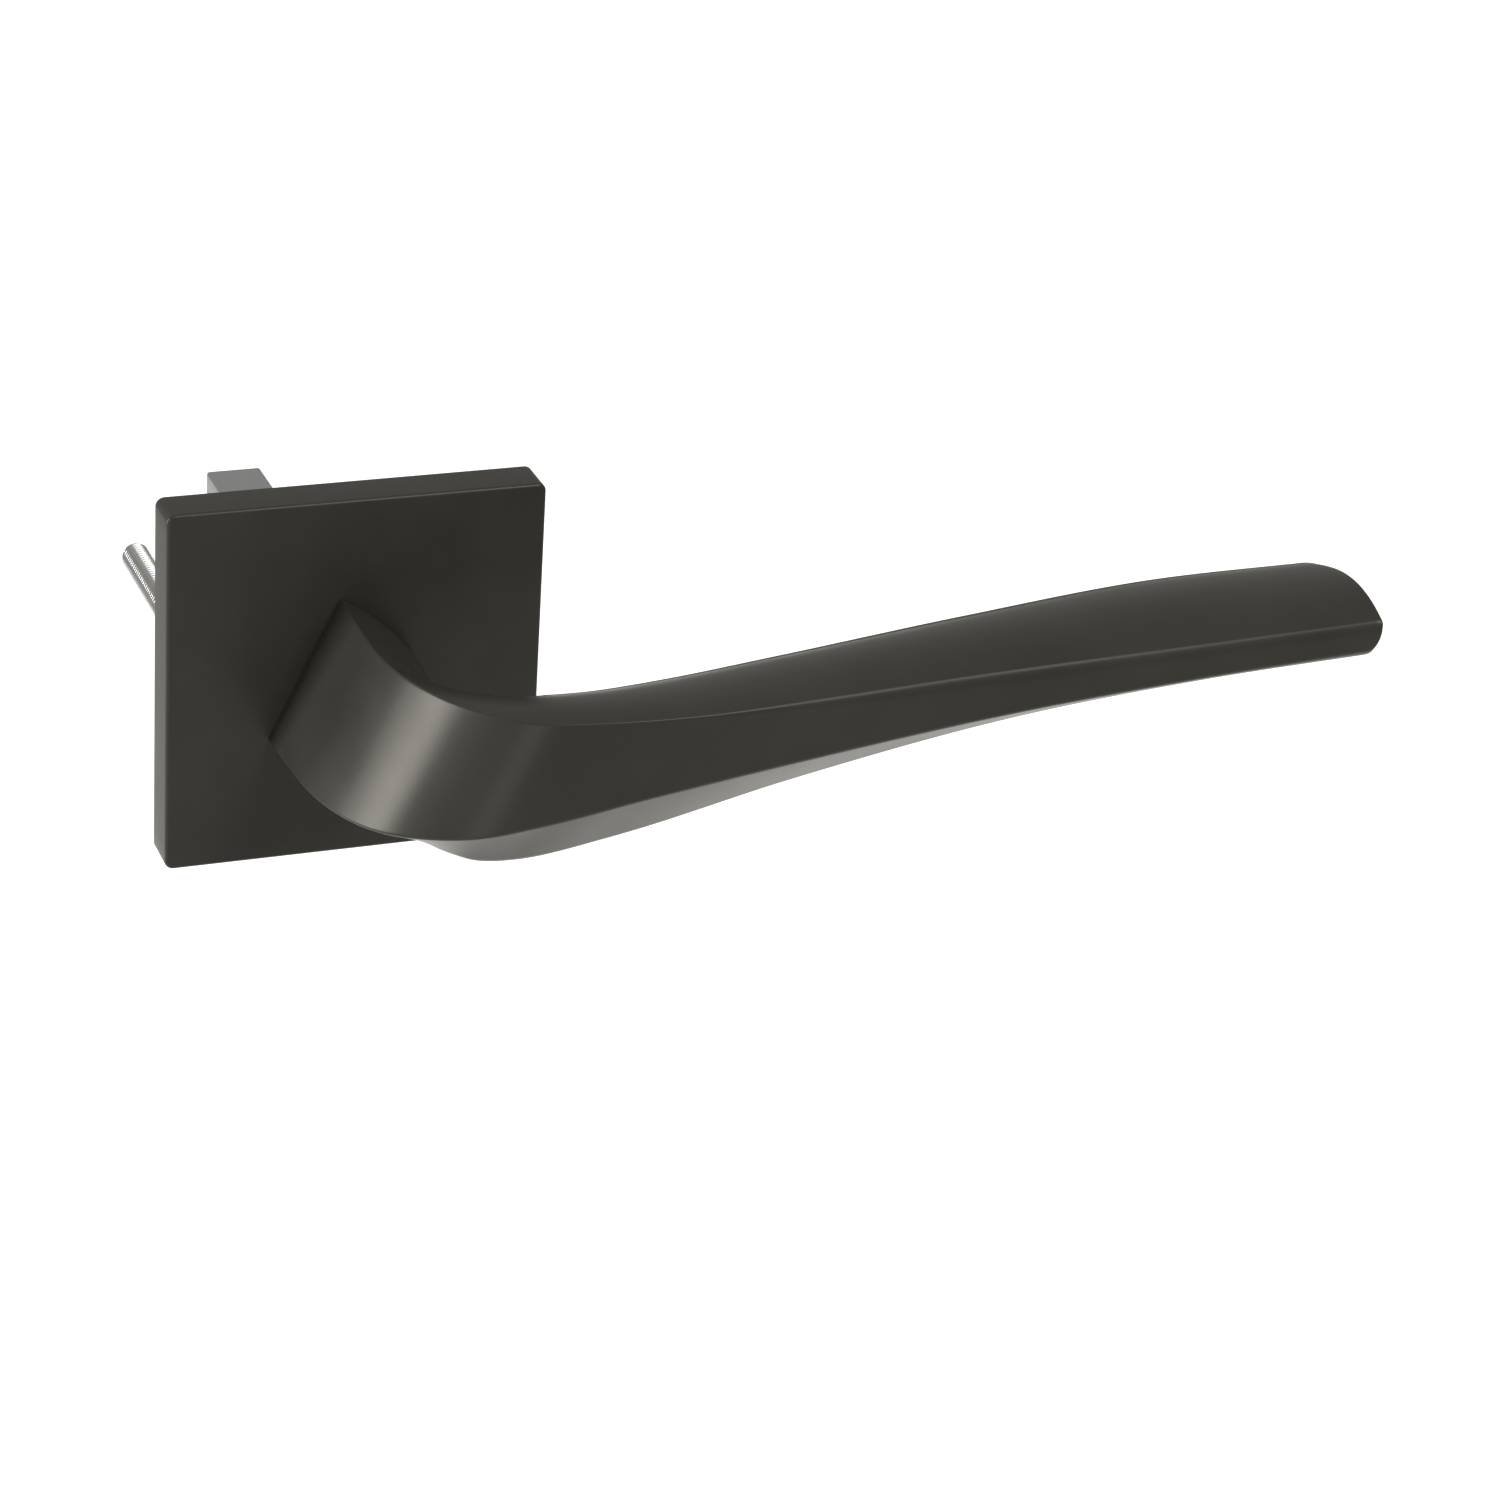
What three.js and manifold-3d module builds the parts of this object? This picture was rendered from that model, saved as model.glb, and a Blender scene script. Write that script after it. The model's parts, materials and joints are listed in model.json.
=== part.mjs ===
// Door lever handle on a square rose: one side of a door, with its spring cassette, spindle and fixings.
// Millimetres, +Z up. The origin is where the spindle's axis crosses the door face. +Y runs into the door,
// so the handle stands out towards -Y, and +X runs along the grip to its tip.

import * as THREE from "three";
import { mergeVertices } from "three/addons/utils/BufferGeometryUtils.js";
import Module from "manifold-3d";

const wasm = await Module();
wasm.setup();

// Driving dimensions
const GAP = 0.3; // left between pieces that touch
const OVERLAP = 1; // how far a cutting tool or a joined boss runs past the face it starts from
const MERGE = 1e-4; // vertices closer than this are one
const SIDES = { wave: 72, round: 48, post: 32, screw: 24, pin: 16 }; // sides of round pieces
const ROSE = { width: 52, depth: 6.5, skin: 1.1, edge: 0.6, corner: 1.2, innerCorner: 0.7, hole: 7.3 };
const PLATE = { width: 47.4, depth: 1.2, corner: 2, rimInner: 14.1, rimOuter: 15.1, rimDepth: 4.6 };
const JOURNAL = { radius: 7, back: 3.6, grooveRadius: 6.4, grooveFront: 1.6, grooveBack: 2.9 };
const SPINDLE = { width: 8, front: -26, back: 58, chamfer: 0.6, clearance: 0.2 };
const SOCKET_FRONT = SPINDLE.front - 2; // where the lever's square socket ends
const FIXING = { centres: 38, screwRadius: 2, screwBack: 40, headRadius: 3.4, headDepth: 1.6, washer: 0.5 };
const RECESS = { arm: 1, span: 4, depth: 1 }; // the cross in a screw's head
const WASHER = { outer: 9.2, thrustBack: 0.9, waveFront: 1.2, waveBack: 1.45, waveHeight: 0.15, waves: 3 };
const RETAINER = { outer: 8.7, mouth: 6 };
const POST = { radius: 3.6, back: 10 };
const BUSH = { inner: 7.3, outer: 9.2, back: 0, front: -4 };
const SPRING = { mean: 10.8, radial: 1.6, axial: 0.9, pitch: 1, turns: 1.7, front: -3.5, leg: 3, steps: 44 };
const DRIVER = { radius: 9.8, front: -5.05, back: -4.3, flat: 6.4, armReach: 13.6, armHalf: 2.2, at: 100 };
const TAB = { inner: 12, half: 0.8, back: -2.9 };
const PIN = { radius: 0.9, circle: 12.9, front: -4.95 };
const TURN = 45; // how far the lever presses down, in degrees
const CLIP = { length: 9, thickness: 0.6, front: -4.4, offset: 13, footDepth: 0.7, footLength: 3 };
const GRUB = { radius: 2.9, at: -17, tip: -4.4, length: 4.9, key: 1.5, keyDepth: 2.6, hole: 16 };

// The crease is the sharp upper edge of the lever's outer face. It is level, and this is its line from above.
const CREASE_HEIGHT = 12;
const ROOT = -ROSE.depth - GAP;
const CREASE = [
  [-2.4, ROOT], [-2.5, -17], [-2.3, -25], [-0.6, -33.2], [4, -42.4], [11, -48.6],
  [20, -50.7], [32, -51.5], [50, -50.6], [75, -48.7], [105, -47.1], [133.8, -45.4],
];

// Sections of the lever, each at a distance along the crease from the rose. Every section has five corners:
// the crease, the top and back edges behind it, the heel below, and the foot of the outer face. A corner is
// placed by how far it lies inwards from the outer face and how far it drops below the crease. lean is how
// far a point moves towards the hinge side for each millimetre it drops, crown bows the top face up, and
// soft rounds the heel.
// [at, foot, lean, top in, top drop, back in, back drop, heel in, heel drop, crown, soft]
const SECTIONS = [
  [0, 20, 0.484, 14.7, 8.8, 18.6, 16, 18.3, 22.5, 0.5, 4],
  [22, 18.8, 0.484, 13.5, 7.5, 18, 15.5, 18.3, 22.5, 0.6, 4],
  [34, 18, 0.484, 11.4, 3.2, 12.8, 9, 12, 22, 0.7, 3],
  [44, 16.3, 0.47, 12.2, 1.6, 12.6, 8, 7.8, 22, 0.8, 2.4],
  [55, 13.9, 0.44, 13.6, 1.8, 13.6, 6.6, 7, 22.7, 1, 2],
  [67, 11.1, 0.36, 15.8, 2.1, 15.8, 5.9, 7.5, 20.8, 1.2, 1.8],
  [87, 8.5, 0.18, 17.5, 1.4, 17.5, 4.7, 6.4, 15.1, 1.5, 1.5],
  [115, 6.2, 0, 19, 0.1, 19, 3.3, 3.4, 9, 1.8, 1.3],
  [144, 4.8, 0, 20.6, -0.8, 20.6, 2.3, 1.2, 5.8, 2, 0.8],
  [172, 4.2, 0, 20, -0.6, 20, 2.5, 0.8, 5.2, 2, 0.6],
];
const RINGS = 56;
const CROWN_STEPS = 6;
const SOFT_STEPS = 3;
const CRISP = 0.4; // how far the crease and the foot edge are eased
const EDGE_REACH = 1.4; // how far the top and back edges are rounded

const radians = THREE.MathUtils.degToRad;

// Materials
const satinBlack = () =>
  new THREE.MeshStandardMaterial({ color: 0x33322f, roughness: 0.42, metalness: 0.6 });
const steel = () =>
  new THREE.MeshStandardMaterial({ color: 0x9a9c9e, roughness: 0.35, metalness: 1 });
const zinc = () =>
  new THREE.MeshStandardMaterial({ color: 0xb8b4a6, roughness: 0.5, metalness: 0.9 });
const nylon = () =>
  new THREE.MeshStandardMaterial({ color: 0xe4e2da, roughness: 0.6, metalness: 0 });
const springSteel = () =>
  new THREE.MeshStandardMaterial({ color: 0x6f7175, roughness: 0.3, metalness: 1 });

// Joining and cutting
function solid(geometry) {
  const bare = geometry.clone();
  bare.deleteAttribute("normal");
  bare.deleteAttribute("uv");
  const merged = mergeVertices(bare, MERGE);
  return new wasm.Manifold(
    new wasm.Mesh({
      numProp: 3,
      vertProperties: Float32Array.from(merged.attributes.position.array),
      triVerts: Uint32Array.from(merged.index.array),
    }),
  );
}

function shell(body) {
  const mesh = body.getMesh();
  const geometry = new THREE.BufferGeometry();
  geometry.setAttribute("position", new THREE.BufferAttribute(mesh.vertProperties, 3));
  geometry.setIndex(new THREE.BufferAttribute(mesh.triVerts, 1));
  geometry.computeVertexNormals();
  return geometry;
}

function combine(base, { add = [], cut = [] }) {
  let body = solid(base);
  for (const piece of add) body = body.add(solid(piece));
  for (const tool of cut) body = body.subtract(solid(tool));
  return shell(body);
}

// Simple forms round or across the spindle's axis
function ring(inner, outer, front, back, sides = SIDES.round) {
  const profile = [[inner, front], [outer, front], [outer, back], [inner, back], [inner, front]];
  return new THREE.LatheGeometry(profile.map(([r, y]) => new THREE.Vector2(r, y)), sides);
}

function rod(radius, front, back, sides = SIDES.round) {
  return new THREE.CylinderGeometry(radius, radius, back - front, sides).translate(0, (front + back) / 2, 0);
}

function slab(shape, front, back, bevel = 0) {
  const geometry = new THREE.ExtrudeGeometry(shape, {
    depth: back - front,
    bevelEnabled: bevel > 0,
    bevelThickness: bevel,
    bevelSize: bevel,
    bevelOffset: -bevel,
    bevelSegments: 2,
    curveSegments: 4,
  });
  return geometry.rotateX(Math.PI / 2).translate(0, back, 0);
}

function square(width, corner) {
  const half = width / 2;
  const shape = new THREE.Shape();
  shape.moveTo(-half + corner, -half);
  shape.lineTo(half - corner, -half);
  shape.absarc(half - corner, -half + corner, corner, -Math.PI / 2, 0);
  shape.lineTo(half, half - corner);
  shape.absarc(half - corner, half - corner, corner, 0, Math.PI / 2);
  shape.lineTo(-half + corner, half);
  shape.absarc(-half + corner, half - corner, corner, Math.PI / 2, Math.PI);
  shape.lineTo(-half, -half + corner);
  shape.absarc(-half + corner, -half + corner, corner, Math.PI, Math.PI * 1.5);
  return shape;
}

function box(width, depth, height, x, y, z) {
  return new THREE.BoxGeometry(width, depth, height).translate(x, y, z);
}

// A round bar that stands upright, between two heights
function upright(radius, low, high, x, y, sides = SIDES.post) {
  return new THREE.CylinderGeometry(radius, radius, high - low, sides)
    .rotateX(Math.PI / 2)
    .translate(x, y, (low + high) / 2);
}

// Two blocks, one on each side, that start at a flat's distance from the axis and run outwards
function flatBlocks(distance, front, back) {
  const width = 2 * JOURNAL.radius;
  return [-1, 1].map((side) =>
    box(width, back - front, 2 * width, side * (distance + width / 2), (front + back) / 2, 0),
  );
}

// A turn about the spindle's axis, in degrees from +X towards +Z
function turned(geometry, degrees) {
  return geometry.rotateY(-radians(degrees));
}

// A closed loft: a cylinder whose rings are moved onto the sections that sectionAt(share) gives
function loft(sectionAt, rings, around) {
  const geometry = new THREE.CylinderGeometry(1, 1, 1, around, rings);
  const { position } = geometry.attributes;
  const sections = Array.from({ length: rings + 1 }, (_, i) => sectionAt(i / rings));
  const centres = sections.map((points) =>
    points.reduce((sum, p) => sum.add(p), new THREE.Vector3()).divideScalar(points.length),
  );
  for (let i = 0; i < position.count; i++) {
    const x = position.getX(i);
    const z = position.getZ(i);
    const row = Math.round((0.5 - position.getY(i)) * rings);
    const onAxis = Math.hypot(x, z) < 0.5;
    const turn = (Math.atan2(x, z) / (2 * Math.PI) + 1) % 1;
    const column = Math.round(turn * around) % around;
    const point = onAxis ? centres[row] : sections[row][column];
    position.setXYZ(i, point.x, point.y, point.z);
  }
  return geometry;
}

// Lever
// Reads a section at any distance along the crease, smoothly between the stated ones
function sectionReader() {
  const places = SECTIONS.map((row) => row[0]);
  const rows = SECTIONS.map((row) => row.slice(1));
  const size = rows[0].length;
  const curve = new THREE.CubicInterpolant(places, rows.flat(), size, new Float64Array(size));
  return (at) => {
    const [foot, lean, topIn, topDrop, backIn, backDrop, heelIn, heelDrop, crown, soft] = curve.evaluate(at);
    return {
      lean,
      crown,
      soft,
      foot: new THREE.Vector2(0, -foot),
      top: new THREE.Vector2(topIn, -topDrop),
      back: new THREE.Vector2(backIn, -backDrop),
      heel: new THREE.Vector2(heelIn, -heelDrop),
    };
  };
}

// Cuts a corner with a curve that starts and ends at the given distance from it
function softCorner(before, corner, after, reach, steps) {
  const start = corner.clone().add(before.clone().sub(corner).setLength(reach));
  const end = corner.clone().add(after.clone().sub(corner).setLength(reach));
  return new THREE.QuadraticBezierCurve(start, corner, end).getPoints(steps);
}

// Points along the crowned top face, from the crease to the top corner, without its two ends
function crownPoints(from, to, crown) {
  const middle = from.clone().add(to).multiplyScalar(0.5);
  const across = to.clone().sub(from).normalize();
  middle.add(new THREE.Vector2(-across.y, across.x).multiplyScalar(2 * crown));
  return new THREE.QuadraticBezierCurve(from, middle, to).getPoints(CROWN_STEPS).slice(1, -1);
}

// The closed outline of a section, clockwise from the crease
function leverOutline({ foot, top, back, heel, crown, soft }) {
  const crease = new THREE.Vector2(0, 0);
  const reach = Math.min(soft, EDGE_REACH);
  const creaseEdge = softCorner(foot, crease, top, CRISP, 1);
  const topEdge = softCorner(crease, top, back, reach, SOFT_STEPS);
  return [
    ...creaseEdge,
    ...crownPoints(creaseEdge[1], topEdge[0], crown),
    ...topEdge,
    ...softCorner(top, back, heel, reach, SOFT_STEPS),
    ...softCorner(back, heel, foot, soft, SOFT_STEPS),
    ...softCorner(heel, foot, crease, CRISP, 1),
  ];
}

function leverBody() {
  const points = CREASE.map(([x, y]) => new THREE.Vector3(x, y, CREASE_HEIGHT));
  const crease = new THREE.CatmullRomCurve3(points, false, "centripetal");
  const readSection = sectionReader();
  const lastPlace = SECTIONS.at(-1)[0];
  const sectionAt = (share) => {
    const origin = crease.getPointAt(share);
    const along = crease.getTangentAt(share);
    // inwards is +X in the neck and turns with the bend until it is +Y along the grip
    const quarter = Math.PI / 2;
    const inwards = THREE.MathUtils.clamp(Math.atan2(along.y, along.x) + quarter, 0, quarter);
    const section = readSection(share * lastPlace);
    return leverOutline(section).map(({ x, y }) => {
      const across = origin.x + x * Math.cos(inwards) + section.lean * y;
      return new THREE.Vector3(across, origin.y + x * Math.sin(inwards), origin.z + y);
    });
  };
  return loft(sectionAt, RINGS, sectionAt(0).length);
}

function leverHandle() {
  const { radius, back, grooveRadius, grooveFront, grooveBack } = JOURNAL;
  const socket = SPINDLE.width + 2 * SPINDLE.clearance;
  const socketDepth = back + OVERLAP - SOCKET_FRONT;
  return combine(leverBody(), {
    add: [rod(radius, ROOT - OVERLAP, back)],
    cut: [
      ring(grooveRadius, radius + OVERLAP, grooveFront, grooveBack),
      box(socket, socketDepth, socket, 0, SOCKET_FRONT + socketDepth / 2, 0),
      upright(GRUB.radius + GAP, -GRUB.hole, 0, 0, GRUB.at),
      ...flatBlocks(DRIVER.flat, DRIVER.front - GAP, DRIVER.back + GAP),
    ],
  });
}

function grubScrew() {
  const { radius, tip, length, key, keyDepth, at } = GRUB;
  const end = tip - length;
  const keySocket = upright(key, end - OVERLAP, end + keyDepth, 0, at, 6);
  return combine(upright(radius, end, tip, 0, at), { cut: [keySocket] });
}

function spindle() {
  const { width, front, back, chamfer } = SPINDLE;
  const half = width / 2 - chamfer;
  const shape = new THREE.Shape();
  shape.moveTo(-half, -half);
  shape.lineTo(half, -half);
  shape.lineTo(half, half);
  shape.lineTo(-half, half);
  const geometry = new THREE.ExtrudeGeometry(shape, {
    depth: back - front - 2 * chamfer,
    bevelSize: chamfer,
    bevelThickness: chamfer,
    bevelSegments: 1,
    steps: 2,
  });
  return geometry.rotateX(Math.PI / 2).translate(0, back - chamfer, 0);
}

// Rose
function roseCover() {
  const { width, depth, skin, edge, corner, innerCorner, hole } = ROSE;
  const outer = slab(square(width, corner), -depth + edge, edge, edge);
  const inside = width - 2 * skin;
  return combine(outer, {
    cut: [
      slab(square(width + 2 * OVERLAP, corner), 0, 2 * edge + OVERLAP),
      slab(square(inside, innerCorner), -depth + skin, OVERLAP),
      rod(hole, -depth - OVERLAP, OVERLAP),
    ],
  });
}

function basePlate() {
  const { width, depth, corner, rimInner, rimOuter, rimDepth } = PLATE;
  const hole = (radius, x) => rod(radius + GAP, -depth - OVERLAP, OVERLAP, SIDES.screw).translate(x, 0, 0);
  return combine(slab(square(width, corner), -depth, 0), {
    add: [ring(rimInner, rimOuter, -rimDepth, -depth / 2)],
    cut: [
      rod(BUSH.outer + GAP, -depth - OVERLAP, OVERLAP),
      ...[-1, 1].map((side) => hole(FIXING.screwRadius, (side * FIXING.centres) / 2)),
      ...pinAngles().map((degrees) => turned(hole(PIN.radius, PIN.circle), degrees)),
    ],
  });
}

// The pins stand on one circle: the rest stop, the end stop and the spring's anchor
function pinAngles() {
  const reach = (PIN.radius + GAP + DRIVER.armHalf) / PIN.circle;
  const clear = THREE.MathUtils.radToDeg(reach);
  const springStart = legAngle() - SPRING.turns * 360;
  const anchor = springStart - THREE.MathUtils.radToDeg((PIN.radius + GAP + SPRING.radial / 2) / PIN.circle);
  return [DRIVER.at + clear, DRIVER.at - TURN - clear, anchor];
}

function stopPin(degrees) {
  return turned(rod(PIN.radius, PIN.front, 0, SIDES.pin).translate(PIN.circle, 0, 0), degrees);
}

function bush() {
  return ring(BUSH.inner, BUSH.outer, BUSH.front, BUSH.back);
}

function supportPost(side) {
  const post = ring(FIXING.screwRadius + GAP, POST.radius, GAP, POST.back, SIDES.post);
  return post.translate((side * FIXING.centres) / 2, 0, 0);
}

function fixingScrew(side) {
  const { screwRadius, screwBack, headRadius, headDepth, centres, washer } = FIXING;
  const headBack = -PLATE.depth - washer - 2 * GAP;
  const headFront = headBack - headDepth;
  const { arm, span, depth } = RECESS;
  const screw = combine(rod(screwRadius, headBack - headDepth / 2, screwBack, SIDES.screw), {
    add: [rod(headRadius, headFront, headBack, SIDES.post)],
    cut: [box(span, 2 * depth, arm, 0, headFront, 0), box(arm, 2 * depth, span, 0, headFront, 0)],
  });
  return screw.translate((side * centres) / 2, 0, 0);
}

function screwWasher(side) {
  const back = -PLATE.depth - GAP;
  const front = back - FIXING.washer;
  const washer = ring(FIXING.screwRadius + GAP, FIXING.headRadius, front, back, SIDES.post);
  return washer.translate((side * FIXING.centres) / 2, 0, 0);
}

// A leaf that grips the cover's inner wall, with a foot that hooks behind the plate's front face
function coverClip(degrees, side) {
  const { length, thickness, front, offset, footDepth, footLength } = CLIP;
  const inner = PLATE.width / 2 + GAP;
  const footMiddle = inner + (thickness - footLength) / 2;
  const footY = -PLATE.depth - GAP - footDepth / 2;
  const leaf = box(thickness, -front, length, inner + thickness / 2, front / 2, 0);
  const foot = box(footLength + thickness, footDepth, length, footMiddle, footY, 0);
  return turned(combine(leaf, { add: [foot] }).translate(0, 0, side * offset), degrees);
}

// Spring cassette
// The front leg lies against the driver's tab, which it meets half way along
function legAngle() {
  const contact = SPRING.mean + SPRING.leg / 2;
  return DRIVER.at - THREE.MathUtils.radToDeg((TAB.half + GAP + SPRING.radial / 2) / contact);
}

// A flat wire wound round the bush, with a straight leg that runs outwards from each end
function returnSpring() {
  const { mean, radial, axial, pitch, turns, front, leg, steps } = SPRING;
  const end = legAngle();
  const sweep = turns * 360;
  const sectionAt = (share) => {
    const angle = radians(end - sweep * share);
    const y = front + pitch * turns * share;
    return [[-1, -1], [1, -1], [1, 1], [-1, 1]].map(([a, b]) => {
      const radius = mean + (a * radial) / 2;
      return new THREE.Vector3(radius * Math.cos(angle), y + (b * axial) / 2, radius * Math.sin(angle));
    });
  };
  const legAt = (degrees, y) => turned(box(leg, axial, radial, mean + leg / 2, y, 0), degrees);
  const legs = [legAt(end, front), legAt(end - sweep, front + pitch * turns)];
  return combine(loft(sectionAt, steps, 4), { add: legs });
}

// A disc on the journal's flats, with an arm that meets the stops and a tab that pushes the spring
function driver() {
  const { radius, front, back, flat, armReach, armHalf, at } = DRIVER;
  const hole = combine(rod(JOURNAL.radius + GAP, front - OVERLAP, back + OVERLAP), {
    cut: flatBlocks(flat + GAP, front - 2 * OVERLAP, back + 2 * OVERLAP),
  });
  const armStart = JOURNAL.radius + OVERLAP;
  const armMiddle = (armStart + armReach) / 2;
  const arm = box(armReach - armStart, back - front, 2 * armHalf, armMiddle, (front + back) / 2, 0);
  const tabDepth = TAB.back - front;
  const tabMiddle = (TAB.inner + armReach) / 2;
  const tab = box(armReach - TAB.inner, tabDepth, 2 * TAB.half, tabMiddle, front + tabDepth / 2, 0);
  return combine(rod(radius, front, back), { add: [turned(arm, at), turned(tab, at)], cut: [hole] });
}

function retainingRing() {
  const inner = JOURNAL.grooveRadius + GAP;
  const front = JOURNAL.grooveFront + GAP;
  const back = JOURNAL.grooveBack - GAP;
  const mouth = box(RETAINER.mouth, 2 * (back - front), 2 * inner, 0, (front + back) / 2, -inner);
  return combine(ring(inner, RETAINER.outer, front, back), { cut: [mouth] });
}

function thrustWasher() {
  return ring(JOURNAL.radius + GAP, WASHER.outer, GAP, WASHER.thrustBack);
}

// A thin ring bent into waves, which takes up the lever's end play
function waveWasher() {
  const { outer, waveFront, waveBack, waveHeight, waves } = WASHER;
  const washer = ring(JOURNAL.radius + GAP, outer, waveFront, waveBack, SIDES.wave);
  const { position } = washer.attributes;
  for (let i = 0; i < position.count; i++) {
    const angle = Math.atan2(position.getZ(i), position.getX(i));
    position.setY(i, position.getY(i) + waveHeight * Math.sin(waves * angle));
  }
  return washer;
}

// Assembly
const group = new THREE.Group();

function place(name, geometry, material) {
  const mesh = new THREE.Mesh(geometry, material);
  mesh.name = name;
  group.add(mesh);
}

place("lever_handle", leverHandle(), satinBlack());
place("rose_cover", roseCover(), satinBlack());
place("base_plate", basePlate(), zinc());
place("bearing_bush", bush(), nylon());
place("spindle", spindle(), steel());
place("grub_screw", grubScrew(), steel());
place("driver_disc", driver(), steel());
place("return_spring", returnSpring(), springSteel());
place("retaining_ring", retainingRing(), springSteel());
place("thrust_washer", thrustWasher(), nylon());
place("wave_washer", waveWasher(), springSteel());
["rest_stop_pin", "end_stop_pin", "spring_anchor_pin"].forEach((name, i) =>
  place(name, stopPin(pinAngles()[i]), steel()),
);
for (const [name, side] of [["left", -1], ["right", 1]]) {
  place(`support_post_${name}`, supportPost(side), zinc());
  place(`fixing_screw_${name}`, fixingScrew(side), steel());
  place(`screw_washer_${name}`, screwWasher(side), steel());
}
for (const [name, degrees] of [["upper", 90], ["lower", -90]]) {
  place(`cover_clip_${name}_1`, coverClip(degrees, -1), springSteel());
  place(`cover_clip_${name}_2`, coverClip(degrees, 1), springSteel());
}

export default group;
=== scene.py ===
"""Looks of a door lever handle on a square rose, built round its mechanical model.

Lengths are in metres, in the model's frame. +X runs along the grip to its tip, +Y into the door and +Z up,
from the point where the spindle's axis crosses the door face. The tables of the lever's shape are in
millimetres.
"""

import json
import math

import bmesh
import bpy
import numpy as np
from bpy.props import FloatProperty, FloatVectorProperty, IntProperty, PointerProperty
from bpy.types import Operator, Panel, PropertyGroup
from mathutils import Matrix, Vector


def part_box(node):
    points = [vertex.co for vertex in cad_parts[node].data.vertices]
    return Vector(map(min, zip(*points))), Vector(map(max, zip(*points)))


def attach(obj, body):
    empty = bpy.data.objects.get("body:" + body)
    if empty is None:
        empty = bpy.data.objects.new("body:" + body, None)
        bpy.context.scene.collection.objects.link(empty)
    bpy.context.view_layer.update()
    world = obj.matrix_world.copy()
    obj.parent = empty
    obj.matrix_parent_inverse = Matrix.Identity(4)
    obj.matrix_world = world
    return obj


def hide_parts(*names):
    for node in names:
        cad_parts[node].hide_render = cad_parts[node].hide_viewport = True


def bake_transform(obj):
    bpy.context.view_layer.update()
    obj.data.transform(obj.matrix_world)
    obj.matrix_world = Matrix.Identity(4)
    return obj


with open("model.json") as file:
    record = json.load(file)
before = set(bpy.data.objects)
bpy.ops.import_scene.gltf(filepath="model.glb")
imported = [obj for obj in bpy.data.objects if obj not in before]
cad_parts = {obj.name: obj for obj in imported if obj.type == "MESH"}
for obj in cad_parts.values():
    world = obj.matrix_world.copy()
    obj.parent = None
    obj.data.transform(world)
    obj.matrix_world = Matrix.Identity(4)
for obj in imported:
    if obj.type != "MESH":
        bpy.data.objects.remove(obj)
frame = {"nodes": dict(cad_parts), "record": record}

bl_info = {
    "name": "Door Lever Handle",
    "version": (1, 0, 0),
    "blender": (4, 5, 0),
    "location": "View3D > Sidebar > Lever",
    "description": "Builds a satin black door lever on a square rose, with its spring cassette and fixings",
    "category": "Add Mesh",
}

MM = 0.001
OVERSHOOT = 0.001  # how far a cutting tool runs past the faces that it opens
TUMBLED = 0.00008  # the rounding that tumbling gives to the edges of thick steel
FILED = 0.00006  # the rounding of the edges of spring strip
PINS = ("rest_stop_pin", "end_stop_pin", "spring_anchor_pin")

# The crease is the sharp upper edge of the lever's outer face. It is level. This is its line seen from above,
# from the rose to the tip.
CREASE = [
    (-2.4, -6.6), (-2.5, -17), (-2.3, -25), (-0.6, -33.2), (4, -42.4), (11, -48.6),
    (20, -50.7), (32, -51.5), (50, -50.6), (75, -48.7), (105, -47.1), (133.8, -45.4),
]

# Sections of the lever, each at a distance along the crease from the rose. A section has five corners: the
# crease, the top and back edges behind it, the heel below, and the foot of the outer face. A corner is placed
# by how far it lies inwards from the outer face and how far it drops below the crease. lean is how far points
# move towards -X for each millimetre that they drop, crown bows the top face up, and soft rounds the heel.
# (at, foot, lean, top in, top drop, back in, back drop, heel in, heel drop, crown, soft)
SECTIONS = [
    (0, 20, 0.484, 14.7, 8.8, 18.6, 16, 18.3, 22.5, 0.5, 4),
    (22, 18.8, 0.484, 13.5, 7.5, 18, 15.5, 18.3, 22.5, 0.6, 4),
    (34, 18, 0.484, 11.4, 3.2, 12.8, 9, 12, 22, 0.7, 3),
    (44, 16.3, 0.47, 12.2, 1.6, 12.6, 8, 7.8, 22, 0.8, 2.4),
    (55, 13.9, 0.44, 13.6, 1.8, 13.6, 6.6, 7, 22.7, 1, 2),
    (67, 11.1, 0.36, 15.8, 2.1, 15.8, 5.9, 7.5, 20.8, 1.2, 1.8),
    (87, 8.5, 0.18, 17.5, 1.4, 17.5, 4.7, 6.4, 15.1, 1.5, 1.5),
    (115, 6.2, 0, 19, 0.1, 19, 3.3, 3.4, 9, 1.8, 1.3),
    (144, 4.8, 0, 20.6, -0.8, 20.6, 2.3, 1.2, 5.8, 2, 0.8),
    (172, 4.2, 0, 20, -0.6, 20, 2.5, 0.8, 5.2, 2, 0.6),
]

# How far each face of the lever is rounded into the flat end of the tip: the top, the back edge, the
# underside, the bevelled heel and the outer face.
TIP_ROUNDING = (0.2, 2.6, 1.2, 1.9, 0.15)

# The stretch along the crease over which its rounding becomes one-sided.
RELIEF = (60, 105)


# Settings

def length(name, description, default):
    return FloatProperty(
        name=name, description=description, default=default, precision=5, subtype="DISTANCE", unit="LENGTH"
    )


def colour(name, description, default):
    return FloatVectorProperty(
        name=name, description=description, default=default, min=0.0, max=1.0, subtype="COLOR", size=3
    )


def count(name, description, default):
    return IntProperty(name=name, description=description, default=default, min=3)


def share(name, description, default):
    return FloatProperty(
        name=name, description=description, default=default, min=0.0, max=1.0, subtype="FACTOR"
    )


def strength(name, description, default):
    return FloatProperty(name=name, description=description, default=default, min=0.0)


def angle(name, description, default):
    return FloatProperty(
        name=name, description=description, default=math.radians(default), subtype="ANGLE", unit="ROTATION"
    )


def reach(node):
    """How far a node goes from the spindle's axis towards +X."""
    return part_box(node)[1].x


def half_width(node):
    low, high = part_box(node)
    return (high.x - low.x) / 2


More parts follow.
